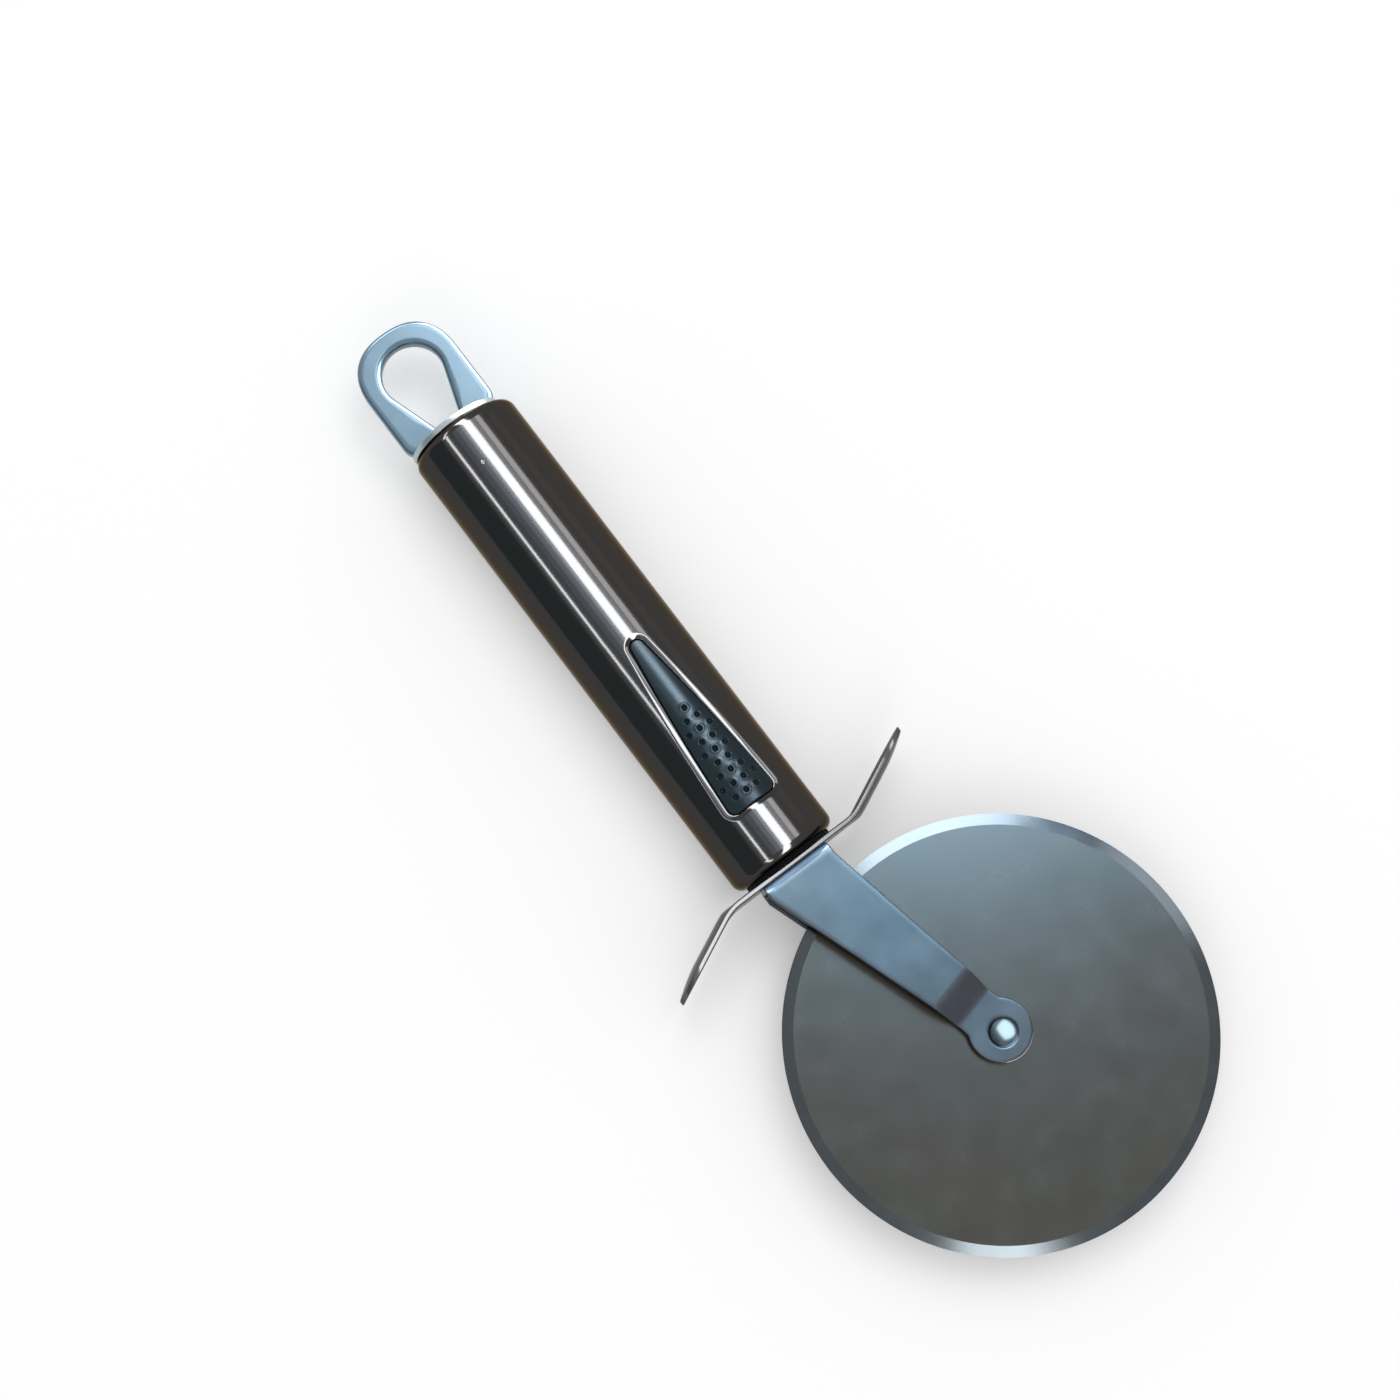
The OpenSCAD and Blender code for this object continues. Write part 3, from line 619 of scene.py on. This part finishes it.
class CUTTER_OT_insert(Operator):
    """Builds the soft insert with its dimples"""
    bl_idname = "cutter.insert"
    bl_label = "Grip insert"

    def execute(self, context):
        h = context.scene.cutter_handle
        curve, normal = pocket_curve(h, 60, 300)
        top, floor = h.recess, h.depth - FLOOR_GAP
        roll = np.radians(np.linspace(0, 90, 7))
        offsets = [None, -INNER_ROW, -h.gap, *(-h.gap - h.edge_r * (1 - np.cos(roll)))]
        depths = [floor, floor, floor, *(top + h.edge_r * (1 - np.sin(roll)))]
        skirt = pocket_rows(h, curve, normal, offsets, depths)
        # The top face: rings from the rounded edge in to the middle line, lowered by the dimples
        outer = curve - (h.gap + h.edge_r) * normal
        share = np.linspace(0, 1, 47)[:, None, None]
        flat = outer * (1 - share) + middle_line(h, curve) * share
        relief = dimple_relief(h, flat[..., 0], flat[..., 1])
        face = on_tube(h, flat[..., 0], np.arcsin(flat[..., 1] / h.tube_r), top + relief)
        cutter_object("grip_pad", [closed(skirt), closed(face)], "handle", "grip_insert",
                      ["moulded_rubber"])
        return {"FINISHED"}


class CUTTER_OT_guard(Operator):
    """Builds the finger guard, one strip bent into a shallow S"""
    bl_idname = "cutter.guard"
    bl_label = "Guard"

    def execute(self, context):
        g = context.scene.cutter_guard
        bend_y = g.bend_r * math.sin(g.bend)

        def tilt(y):
            """Angle of the strip at a distance y to the side: none, then rising in the bend, then the wing's."""
            return np.arcsin(np.clip((abs(y) - g.flat) / g.bend_r, 0, math.sin(g.bend)))

        def section(inset, lift, share):
            """Row along the strip, at a share of its width less the inset. Both ends are half round, and
            the middle line drops aside by the bend's versine and then by the wing's slope."""
            a = np.radians(np.linspace(0, 90, 25))
            half = g.width / 2 - inset
            end_y = g.reach - g.width / 2 + half * np.sin(a)
            straight = np.concatenate([np.linspace(0, g.flat, 8)[:-1],
                                       np.linspace(g.flat, g.flat + bend_y, 14)[:-1],
                                       np.linspace(g.flat + bend_y, end_y[0], 8)[:-1]])
            y = np.concatenate([straight, end_y])
            w = np.concatenate([np.full(len(straight), half), half * np.cos(a)])
            y, w = np.concatenate([-y[:0:-1], y]), np.concatenate([w[:0:-1], w])
            middle = y - lift * np.sin(tilt(y))
            t = tilt(middle)
            drop = g.bend_r * (1 - np.cos(t)) + np.clip(abs(middle) - g.flat - bend_y, 0, None) * np.tan(g.bend)
            # Each wing is dished across its width, and ends flat where it runs out to its tip
            ramp = np.clip((abs(y) - g.flat) / g.ramp, 0, 1)
            dish = g.dish * ramp * ramp * (3 - 2 * ramp) * (1 - share ** 2) * (2 * w / g.width) ** 2
            return np.stack([g.x - np.sign(middle) * (drop - dish) + lift * np.cos(t),
                             middle + lift * np.sin(t), share * w], -1)

        rows = plate(section, g.thick, g.edge_r, np.linspace(-1, 1, 17))
        guard = cutter_object("finger_guard", [rows], "handle", "guard", ["polished_guard"])
        # The tube's rounded end and the fork's root would mirror it as black patches
        guard.visible_glossy = False
        return {"FINISHED"}


class CUTTER_OT_fork(Operator):
    """Builds the fork: web, two bends, two tapered arms with a joggle, and a round pad on each"""
    bl_idname = "cutter.fork"
    bl_label = "Fork"

    def execute(self, context):
        f = context.scene.cutter_fork
        half_t = f.thick / 2
        way = np.array([math.cos(f.skew), math.sin(f.skew)])
        side = np.array([-way[1], way[0]])
        hub = np.array([AXLE.x, AXLE.y])
        pad_a, neck_a = -f.pad_back, -f.pad_back - f.pad_r
        high, low = f.height - half_t, f.pad_z + half_t
        bend_r = f.web_bend_r - half_t
        # The joggle: an arc down, a straight slope and an arc level again
        steep, rj = f.joggle, f.joggle_r
        slope_len = (high - low - 2 * rj * (1 - math.cos(steep))) / math.sin(steep)
        run = 2 * rj * math.sin(steep) + slope_len * math.cos(steep)
        a = np.linspace(0, steep, 10)
        first = np.stack([neck_a - run + rj * np.sin(a), high - rj * (1 - np.cos(a)), a], -1)
        second = np.stack([neck_a - rj * np.sin(a), low + rj * (1 - np.cos(a)), a], -1)[::-1]
        joggle = np.concatenate([first, second])
        # Stations along one half: place, direction across, half width and normal
        root_x = f.web_x + f.web_bend_r + f.thick
        bend_x, bend_z = f.web_x + half_t + bend_r, high - bend_r
        root = np.array([root_x, 0.0])
        a = np.radians(np.linspace(0, 90, 10))
        web_z = np.linspace(0, bend_z, 6)[:-1]
        root_side = f.root_w / 2

        def edge_at(at, sign):
            """Point of the arm's straight edge at distance at along the arm, measured from the axle."""
            p0 = root + [0, sign * root_side] - hub
            p1 = neck_a * way + sign * f.neck_w / 2 * side
            a0 = p0 @ way
            return hub + p0 + (p1 - p0) * ((at - a0) / (neck_a - a0))

        def station(left, right, z, lean=0):
            """Station between the arm's two edges at height z, with its normal leaning along the arm."""
            middle, span = (left + right) / 2, left - right
            wide = float(np.hypot(*span))
            return (*middle, z), span / wide, wide / 2, (*(math.sin(lean) * way), math.cos(lean))

        stations = [((f.web_x + half_t, 0, z), (0, 1), root_side, (-1, 0, 0)) for z in web_z]
        stations += [((bend_x - bend_r * math.cos(t), 0, bend_z + bend_r * math.sin(t)), (0, 1), root_side,
                      (-math.cos(t), 0, math.sin(t))) for t in a]
        # One level station between the web's bend and the arm
        stations += [((root_x - 0.6 * MM, 0, high), (0, 1), root_side, (0, 0, 1))]
        sides = [(root + [0, sign * root_side], edge_at(joggle[0, 0], sign)) for sign in (1, -1)]
        stations += [station(*(near + (far - near) * share for near, far in sides), high)
                     for share in np.linspace(0, 1, 25)[:-1]]
        stations += [station(edge_at(at, 1), edge_at(at, -1), z, lean) for at, z, lean in joggle]
        stations = stations[::-1][:-1] + [((x, y, -z), s, w, (nx, ny, -nz))
                                          for (x, y, z), s, w, (nx, ny, nz) in stations]
        place = np.array([s[0] for s in stations])
        cross = np.array([(*s[1], 0) for s in stations])
        wide = np.array([s[2] for s in stations])[:, None]
        up = np.array([s[3] for s in stations])

        def section(inset, lift, share):
            """Row along the whole strip: its middle line, moved across by a share of the width and out."""
            return place + cross * share * (wide - inset) + up * lift

        shares = np.linspace(-1, 1, 17)
        grids = [plate(section, f.thick, f.edge_r, shares)]
        slope = (f.pad_r - f.thick - f.neck_w / 2) / f.pad_r

        def outline(inset):
            """Pad's outline by angle about its centre: the farther of its circle and the neck's side."""
            limit = math.atan2(f.neck_w / 2 - inset, -f.pad_r)
            t = np.linspace(limit, -limit, 141)
            line = (f.neck_w / 2 - inset + slope * f.pad_r) / np.clip(np.sin(abs(t)) - slope * np.cos(t), 1e-3, 9)
            r = np.where(abs(t) > 1.6, np.maximum(f.pad_r - inset, line), f.pad_r - inset)
            r[[0, -1]] = math.hypot(f.pad_r, f.neck_w / 2 - inset)
            return np.stack([pad_a + r * np.cos(t), r * np.sin(t)], -1)

        def lay(flat, z):
            """Points at a along the arm and b across it, turned by the skew about the axle, at height z."""
            xy = hub + flat[..., :1] * way + flat[..., 1:] * side
            return np.concatenate([xy, np.full(xy.shape[:-1] + (1,), 1.0) * z], -1)

        inner = outline(f.edge_r)
        cut = np.stack([np.full(15, neck_a), shares[1:-1] * (f.neck_w / 2 - f.edge_r)], -1)
        ring = np.concatenate([inner, cut])
        turn = np.arctan2(ring[:, 1], ring[:, 0])
        spoke = np.stack([np.cos(turn), np.sin(turn)], -1)
        share = np.linspace(0, 1, 9)[:, None, None]
        rim, soft = spoke * (f.sink_r + SINK_EDGE), SINK_EDGE
        for sign in (1, -1):
            top, bottom = sign * (low + half_t), sign * (low - half_t)
            rows = [lay(ring, bottom), lay(spoke * f.hole_r, bottom)]
            if sign > 0:
                sink = top - f.sink_depth
                rows += [lay(spoke * r, z) for r, z in (
                    (f.hole_r, sink), (f.sink_r - soft, sink), (f.sink_r, sink + soft), (f.sink_r, top - soft),
                    (f.sink_r + MIDWAY * soft, top - MIDWAY * soft))]
            else:
                rows += [lay(spoke * f.hole_r, top)]
            rows = np.array(rows + list(lay(rim * (1 - share) + ring * share, top)))
            grids.append(closed(rows))
            grids.append(np.array([lay(outline(inset), sign * (low + lift))
                                   for inset, lift in round_edge(half_t, f.edge_r)]))
        cutter_object("fork_strip", grids, "handle", "fork", ["satin_fork"])
        return {"FINISHED"}


class CUTTER_OT_wheel(Operator):
    """Builds the cutting wheel with its ground bevel"""
    bl_idname = "cutter.wheel"
    bl_label = "Cutting wheel"

    def execute(self, context):
        w = context.scene.cutter_wheel
        half, soft = w.thick / 2, 0.1 * MM
        flat_r, first_r = w.radius - w.bevel, 8 * MM
        flat = np.stack([np.concatenate([[w.hole_r, w.hole_r + soft], np.linspace(first_r, flat_r, 9)]),
                         np.array([half - soft] + [half] * 10)], -1)
        bevel = np.stack([np.linspace(flat_r, w.radius, 5), np.linspace(half, w.edge / 2, 5)], -1)
        hole = np.array([[w.hole_r, half - soft], [w.hole_r, soft - half]])
        edge = np.array([[w.radius, w.edge / 2], [w.radius, -w.edge / 2]])
        profiles = (flat, bevel, flat * [1, -1], bevel * [1, -1], hole, edge)
        cutter_object("cutting_wheel", [revolve(profile, AXLE, "Z", WHEEL_COLUMNS) for profile in profiles],
                      "wheel", "blade", ["ground_wheel", "ground_bevel"], [0, 1] * 3, 5)
        return {"FINISHED"}


class CUTTER_OT_hub(Operator):
    """Builds the rivet and the two spacer washers"""
    bl_idname = "cutter.hub"
    bl_label = "Rivet and washers"

    def execute(self, context):
        w = context.scene.cutter_wheel

        def dome(r, h, foot, sign):
            """Half profile of a cap: an arc through the rim at radius r and the top at height h."""
            ball = (r * r + h * h) / 2 / h
            a = np.linspace(0, math.asin(min(1, r / ball)), 14)
            return np.stack([ball * np.sin(a), foot + sign * (h - ball * (1 - np.cos(a)))], -1)

        head = dome(w.head_r, w.head_h, w.pad_z, 1)
        sink = w.pad_z - context.scene.cutter_fork.sink_depth
        shank = np.array([[w.head_r, sink], [w.rivet_r, sink], [w.rivet_r, -w.pad_z]])
        tail = dome(w.tail_r, w.tail_h, -w.pad_z, -1)[::-1]
        profile = np.concatenate([head, shank, tail])
        cutter_object("axle_pin", [revolve(profile, AXLE, "Z", 64)], "handle", "axle_rivet",
                      ["bright_rivet"], crease=40)
        for node in ("spacer_front", "spacer_back"):
            low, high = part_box(node)
            r, soft = (high.x - low.x) / 2, WASHER_EDGE
            half = np.array([[w.hole_r, low.z], [r - soft, low.z], [r - MIDWAY * soft, low.z + MIDWAY * soft],
                             [r, low.z + soft]])
            profile = np.concatenate([half, (half * [1, -1] + [0, low.z + high.z])[::-1], half[:1]])
            cutter_object(node.replace("spacer", "washer"), [revolve(profile, (AXLE.x, AXLE.y, 0), "Z", 96)],
                          "handle", node, ["plated_steel"], crease=50)
        return {"FINISHED"}


class CUTTER_OT_loop(Operator):
    """Builds the cast end piece: flange, spigot and hanging loop"""
    bl_idname = "cutter.loop"
    bl_label = "Hanging loop"

    def execute(self, context):
        p = context.scene.cutter_loop
        half = p.width / 2
        t = np.radians(np.linspace(90, 270, 200))
        c, s = np.cos(t), np.sin(t)
        end = np.stack([p.end_x + half - half * abs(c) ** (2 / p.power),
                        half * np.sign(s) * abs(s) ** (2 / p.power)], -1)
        corner = arc((p.flange_x - p.shoulder_r, half - p.shoulder_r), p.shoulder_r, 25, 90, 20)
        foot = np.array([p.flange_x + p.flange_t / 2, corner[0, 1] - 0.3 * MM])
        line = np.concatenate([end, (corner * [1, -1])[::-1], [foot * [1, -1], foot], corner])
        hub = np.array([p.hole_x, 0])
        base = np.array([p.foot_x, p.foot_w / 2])
        reach = np.hypot(*(hub - base))
        lean = math.atan2(base[1], base[0] - hub[0]) + math.acos(p.hole_r / reach)
        hole = arc(hub, p.hole_r, math.degrees(lean), 360 - math.degrees(lean), 120)
        hole = np.concatenate([hole, [base * [1, -1], base]])
        # Both outlines are read at the same angles about a point that lies inside them
        centre = hub + [2.2 * MM, 0]
        line, hole = even_line(line, 1200, 150)[0], even_line(hole, 1200, 60)[0]
        turn = np.unwrap(np.arctan2(*(line - centre).T[::-1]))[::5]
        rings = []
        for curve in (line, hole):
            angle_of = np.arctan2(*(curve - centre).T[::-1])
            order = np.argsort(angle_of)
            rings += [np.stack([np.interp(turn, angle_of[order], v[order], period=2 * np.pi) for v in pair.T], -1)
                      for pair in (curve, outward(curve))]
        outer, outer_n, inner, inner_n = rings
        down = round_edge(p.thick / 2, p.edge_r, 8)
        shares = np.linspace(0, 1, 9)
        face_out, face_in = outer - p.edge_r * outer_n, inner + p.edge_r * inner_n
        rows = [(face_out * (1 - k) + face_in * k, p.thick / 2) for k in shares[:-1]]
        rows += [(inner + inset * inner_n, lift) for inset, lift in down]
        rows += [(face_in * (1 - k) + face_out * k, -p.thick / 2) for k in shares[1:-1]]
        rows += [(outer - inset * outer_n, lift) for inset, lift in down[::-1]]
        ring = np.array([np.concatenate([flat + [0, p.shift], np.full((len(flat), 1), z)], 1) for flat, z in rows])
        x0, x1, soft = p.flange_x, p.flange_x + p.flange_t, FLANGE_EDGE
        rim = [(p.flange_r - inset, (x0 + x1) / 2 - lift) for inset, lift in round_edge(p.flange_t / 2, soft)]
        disc, stem = np.array([(0, x0), *rim, (0, x1)]), x1 + p.spigot_len
        spigot = np.array([[0, x0 + soft], [p.spigot_r, x0 + soft], [p.spigot_r, stem - soft],
                           [p.spigot_r - soft, stem], [0, stem]])
        grids = [closed(ring), revolve(disc, (0, p.shift, 0), "X", 128), revolve(spigot, (0, 0, 0), "X", 64)]
        cutter_object("loop_casting", grids, "handle", "hang_loop", ["satin_alloy", "turned_rim"],
                      (0, 1, 0), 40)
        return {"FINISHED"}


class CUTTER_OT_fixings(Operator):
    """Gives the plugs, nut, seal, screw, washer and bushing their finishes"""
    bl_idname = "cutter.fixings"
    bl_label = "Fixings"

    def execute(self, context):
        for name, nodes in FIXINGS.items():
            for node in nodes:
                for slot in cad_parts[node].material_slots:
                    slot.material = finish(name)
        return {"FINISHED"}


def seen(tree, unseen, value):
    """Strength that is value for camera, glossy and transmission rays, and unseen for the rest."""
    path = add(tree, "ShaderNodeLightPath", {})
    first = add(tree, "ShaderNodeMath", {"operation": "ADD"},
                {0: path.outputs["Is Camera Ray"], 1: path.outputs["Is Glossy Ray"]})
    every = add(tree, "ShaderNodeMath", {"operation": "ADD", "use_clamp": True},
                {0: first.outputs[0], 1: path.outputs["Is Transmission Ray"]})
    return add(tree, "ShaderNodeMapRange", {"To Min": unseen, "To Max": value},
               {"Value": every.outputs[0]}).outputs["Result"]


def floor_finish(stage):
    """Plain pale floor. Away from the object it brightens until it meets the white behind it."""
    material, tree = bare_material("plain_floor")
    base = add(tree, "ShaderNodeBsdfDiffuse", {"Color": (*stage.floor, 1)})
    place = add(tree, "ShaderNodeTexCoord", {}).outputs["Object"]
    away = add(tree, "ShaderNodeVectorMath", {"operation": "LENGTH"}, {0: place})
    lift = add(tree, "ShaderNodeMapRange", {"From Min": 0.5, "From Max": 2.0, "To Min": stage.floor_lift,
                                            "To Max": FAR_LIFT}, {"Value": away.outputs["Value"]})
    bright = add(tree, "ShaderNodeMath", {"operation": "MULTIPLY"},
                 {0: seen(tree, 0.0, 1.0), 1: lift.outputs["Result"]})
    glow = add(tree, "ShaderNodeEmission", {"Color": WHITE}, {"Strength": bright.outputs[0]})
    both = add(tree, "ShaderNodeAddShader", {}, {0: base.outputs[0], 1: glow.outputs[0]})
    add(tree, "ShaderNodeOutputMaterial", {}, {"Surface": both.outputs[0]})
    return material


def screen_finish():
    """Even grey glow of the screen beside the handle."""
    material, tree = bare_material("grey_screen")
    shade = add(tree, "ShaderNodeEmission", {"Color": (0.4, 0.48, 0.5, 1)})
    add(tree, "ShaderNodeOutputMaterial", {}, {"Surface": shade.outputs[0]})
    return material


def sheet(name, corners, material):
    """Flat sheet of the stage with four corners."""
    mesh = bpy.data.meshes.new(name)
    mesh.from_pydata(corners, [], [(0, 1, 2, 3)])
    mesh.materials.append(material)
    return linked(name, mesh)


def aimed(name, data, at, back, right):
    """Lamp or camera at a place, looking away from back, its right side as near to right as that allows."""
    back = np.array(back) / np.linalg.norm(back)
    right = np.array(right) - back * np.dot(right, back)
    right /= np.linalg.norm(right)
    thing = linked(name, data)
    turn = Matrix(np.stack([right, np.cross(back, right), back], 1).tolist())
    thing.matrix_world = Matrix.Translation(at) @ turn.to_4x4()
    return thing


def soft_lamp(name, at, aim, sizes, radiance):
    """Area lamp of the given brightness, with its long side along X, turned to face a point."""
    data = bpy.data.lights.new(name, "AREA")
    data.shape = "RECTANGLE"
    data.size, data.size_y = sizes
    data.energy = radiance * math.pi * sizes[0] * sizes[1]
    return aimed(name, data, at, np.subtract(at, aim), (1, 0, 0))


def mirrored_lamp(name, pieces, at, aim, sizes, radiance, tint):
    """Soft lamp that only a collection's pieces mirror, and that lights nothing else."""
    lamp = soft_lamp(name, at, aim, sizes, radiance)
    lamp.data.color = linear(tint)
    lamp.visible_diffuse = False
    lamp.light_linking.receiver_collection = pieces
    return lamp


class CUTTER_OT_stage(Operator):
    """Builds the floor, the soft lamps, the world and the camera"""
    bl_idname = "cutter.stage"
    bl_label = "Stage"

    def execute(self, context):
        scene = context.scene
        stage = scene.cutter_stage
        side, z = FLOOR, SHELL[0].z - 0.1 * MM
        floor = sheet("floor", [(-side, -side, z), (side, -side, z), (side, side, z), (-side, side, z)],
                      floor_finish(stage))
        # A grey screen beside the handle, seen only in the metal, as in a product studio
        x, y, top = SCREEN
        screen = sheet("grey_screen", [(-x, y, z), (x, y, z), (x, y, top), (-x, y, top)], screen_finish())
        screen.visible_camera = screen.visible_diffuse = screen.visible_shadow = screen.visible_transmission = False
        world = bpy.data.worlds.new("studio")
        scene.world = world
        world.use_nodes = True
        tree = world.node_tree
        tree.nodes.clear()
        sky = add(tree, "ShaderNodeBackground", {"Color": WHITE}, {"Strength": seen(tree, stage.fill, 1.0)})
        add(tree, "ShaderNodeOutputWorld", {}, {"Surface": sky.outputs[0]})
        for name, at, sizes, strength in (
                ("soft_top", (-0.35, 0.45, 1.5), (1.2, 1.2), stage.key),
                ("soft_side", (0.9, -0.8, 1.2), (0.9, 0.9), stage.key * 0.5)):
            soft_lamp(name, at, (0.03, 0, 0), sizes, strength).visible_glossy = False
        for name, (group, panels) in PANELS.items():
            pieces = bpy.data.collections.new(name)
            for piece in group:
                pieces.objects.link(bpy.data.objects[piece])
            for tilt, width, x0, x1, strength, tint in panels:
                t, x = math.radians(tilt), (x0 + x1) / 2
                mirrored_lamp(name, pieces, (x, FAR * math.sin(t), FAR * math.cos(t)), (x, 0, 0),
                              (x1 - x0, FAR * math.radians(width)), strength, tint)
        for name, *lamp in CORNER_LAMPS:
            pieces = bpy.data.collections[name]
            mirrored_lamp("corner_lamp", pieces, *lamp).light_linking.blocker_collection = pieces
        data = bpy.data.cameras.new("camera")
        data.lens, data.sensor_width, data.clip_start = stage.lens, 36, 0.01
        scene.camera = aimed("camera", data, stage.camera_at, stage.camera_back, stage.camera_right)
        scene.view_settings.view_transform = "Standard"
        return {"FINISHED"}


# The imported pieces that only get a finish
FIXINGS = {"moulded_plastic": ("front_plug", "tail_plug"), "seal_rubber": ("front_seal",),
           "turned_brass": ("captive_nut", "axle_bushing"), "plated_steel": ("lock_washer", "fork_screw")}
WHITE = (1, 1, 1, 1)
# Half the floor's side, the brightness added to it where it ends, and the distance of the panels
FLOOR, FAR_LIFT, FAR = 6.0, 0.52, 1.3
# The grey screen: half its length, its place to the side and its height
SCREEN = (0.6, -0.6, 0.55)
# Profile of the pocket's rolled lip from its inner edge out, as shares of its width and of its height
LIP = ((0, 1), (0.014, 0.82), (0.055, 0.65), (0.12, 0.54), (0.19, 0.45), (0.28, 0.385), (0.38, 0.31),
       (0.48, 0.237), (0.59, 0.168), (0.69, 0.1), (0.79, 0.042), (0.9, 0.008), (1, 0))
# Panels that only the named pieces mirror: angle from straight up towards +Y and its width in degrees, start
# and end along X, brightness and tint
PANELS = {
    # From the low bright line on one side of the tube to the high one on the other
    "tube_panel": (["handle_tube"], (
        (-36, 4, -0.8, 0.6, 24, "f0f6ff"), (-27, 9, -0.45, 0.03, 0.3, "a0c8ff"),
        (-17, 9, -0.8, 0.6, 1.2, "b8d8ff"), (-7, 9, -0.8, 0.6, 2.6, "d0e4ff"),
        (0.5, 5, -0.8, 0.6, 6, "e4f0ff"), (12.8, 17, -0.8, 0.6, 28, "f0f6ff"),
        (25.6, 9, -0.6, 0.4, 3.6, "f4f8ff"), (37.2, 11, -0.6, 0.4, 7.8, "fbfbff"),
        (66, 16, -0.45, 0.03, 0.2, "fff4e8"))),
    "steel_panel": (["fork_strip", "cutting_wheel", "washer_front", "washer_back", "lock_washer", "fork_screw",
                     "axle_bushing"], (
        (19, 26, -0.6, -0.2, 15, "f0f8ff"), (-7.5, 9, 0.58, 0.86, 13, "ffffff"),
        (34, 13, 0.0, 0.3, 3.5, "f4f8ff"), (65, 25, -0.3, 0.3, 5, "ffffff"))),
    "fork_panel": (["fork_strip"], (
        (15.5, 17, -0.2, 0.025, 23, "a2eaff"), (8, 24, -1.9, -0.3, 5, "9eeaff"))),
    "wheel_panel": (["cutting_wheel"], ((16.5, 15, -0.15, 0.06, 35, "a2d0ff"),)),
    "grip_panel": (["grip_pad"], (
        (18.5, 12, -0.2, -0.1, 74, "c8e4f8"), (13, 34, -0.1, 0.05, 9, "c0dcf8"))),
    "rivet_panel": (["axle_pin"], ((30, 140, -1.7, 2.1, 8, "fafdff"),)),
    "guard_panel": (["finger_guard"], (
        (-2, 19, -0.4, 0.4, 7, "fbfdff"), (60, 25, -0.5, 0.2, 4, "ffffff"))),
    "loop_panel": (["loop_casting"], (
        (63, 70, -1.7, 0.6, 12, "ffffff"), (13.5, 13, -0.7, -0.3, 4.2, "ffffff"),
        (15, 40, -3.2, -1.3, 6, "ffffff"))),
}
# Lamps for the tube's spun corners, where they carry its two bright lines on, and for the bend at the fork's
# root: pieces, place, aim, sizes, brightness and tint
CORNER_LAMPS = (("tube_panel", (0.85, 0.13, 0.75), (0.06, 0, 0.01), (1.1, 0.28), 28, "ffffff"),
                ("tube_panel", (0.82, -0.64, 0.76), (0.06, 0, 0.01), (0.85, 0.1), 24, "ffffff"),
                ("tube_panel", (-1.0, 0.13, 0.7), (-0.06, 0, 0.01), (1.1, 0.28), 28, "ffffff"),
                ("tube_panel", (-0.98, -0.64, 0.7), (-0.06, 0, 0.01), (0.85, 0.1), 24, "ffffff"),
                ("fork_panel", (-1.3, 0.1, 0.55), (0.066, 0, 0.007), (1.3, 1.2), 48, "c0e4ff"))
STEPS = ("tube", "insert", "guard", "fork", "wheel", "hub", "loop", "fixings", "stage")


class CUTTER_PT_panel(Panel):
    """Sizes, colours and steps of the cutter"""
    bl_idname = "CUTTER_PT_panel"
    bl_label = "Cutter"
    bl_space_type = "VIEW_3D"
    bl_region_type = "UI"
    bl_category = "Cutter"

    def draw(self, context):
        layout = self.layout
        for step in STEPS:
            layout.operator("cutter." + step)
        for name in GROUPS:
            group = getattr(context.scene, name)
            box = layout.box()
            for key in group.__annotations__:
                box.prop(group, key)


GROUPS = {"cutter_handle": HandleSizes, "cutter_guard": GuardSizes, "cutter_fork": ForkSizes,
          "cutter_wheel": WheelSizes, "cutter_loop": LoopSizes, "cutter_colours": Colours,
          "cutter_stage": StageValues}
CLASSES = (*GROUPS.values(), CUTTER_OT_tube, CUTTER_OT_insert, CUTTER_OT_guard, CUTTER_OT_fork,
           CUTTER_OT_wheel, CUTTER_OT_hub, CUTTER_OT_loop, CUTTER_OT_fixings, CUTTER_OT_stage, CUTTER_PT_panel)


def register():
    for kind in CLASSES:
        bpy.utils.register_class(kind)
    for name, kind in GROUPS.items():
        setattr(bpy.types.Scene, name, PointerProperty(type=kind))


def unregister():
    for name in GROUPS:
        delattr(bpy.types.Scene, name)
    for kind in reversed(CLASSES):
        bpy.utils.unregister_class(kind)


def main():
    """Builds every piece and the stage."""
    register()
    for step in STEPS:
        getattr(bpy.ops.cutter, step)()


if __name__ == "__main__":
    main()
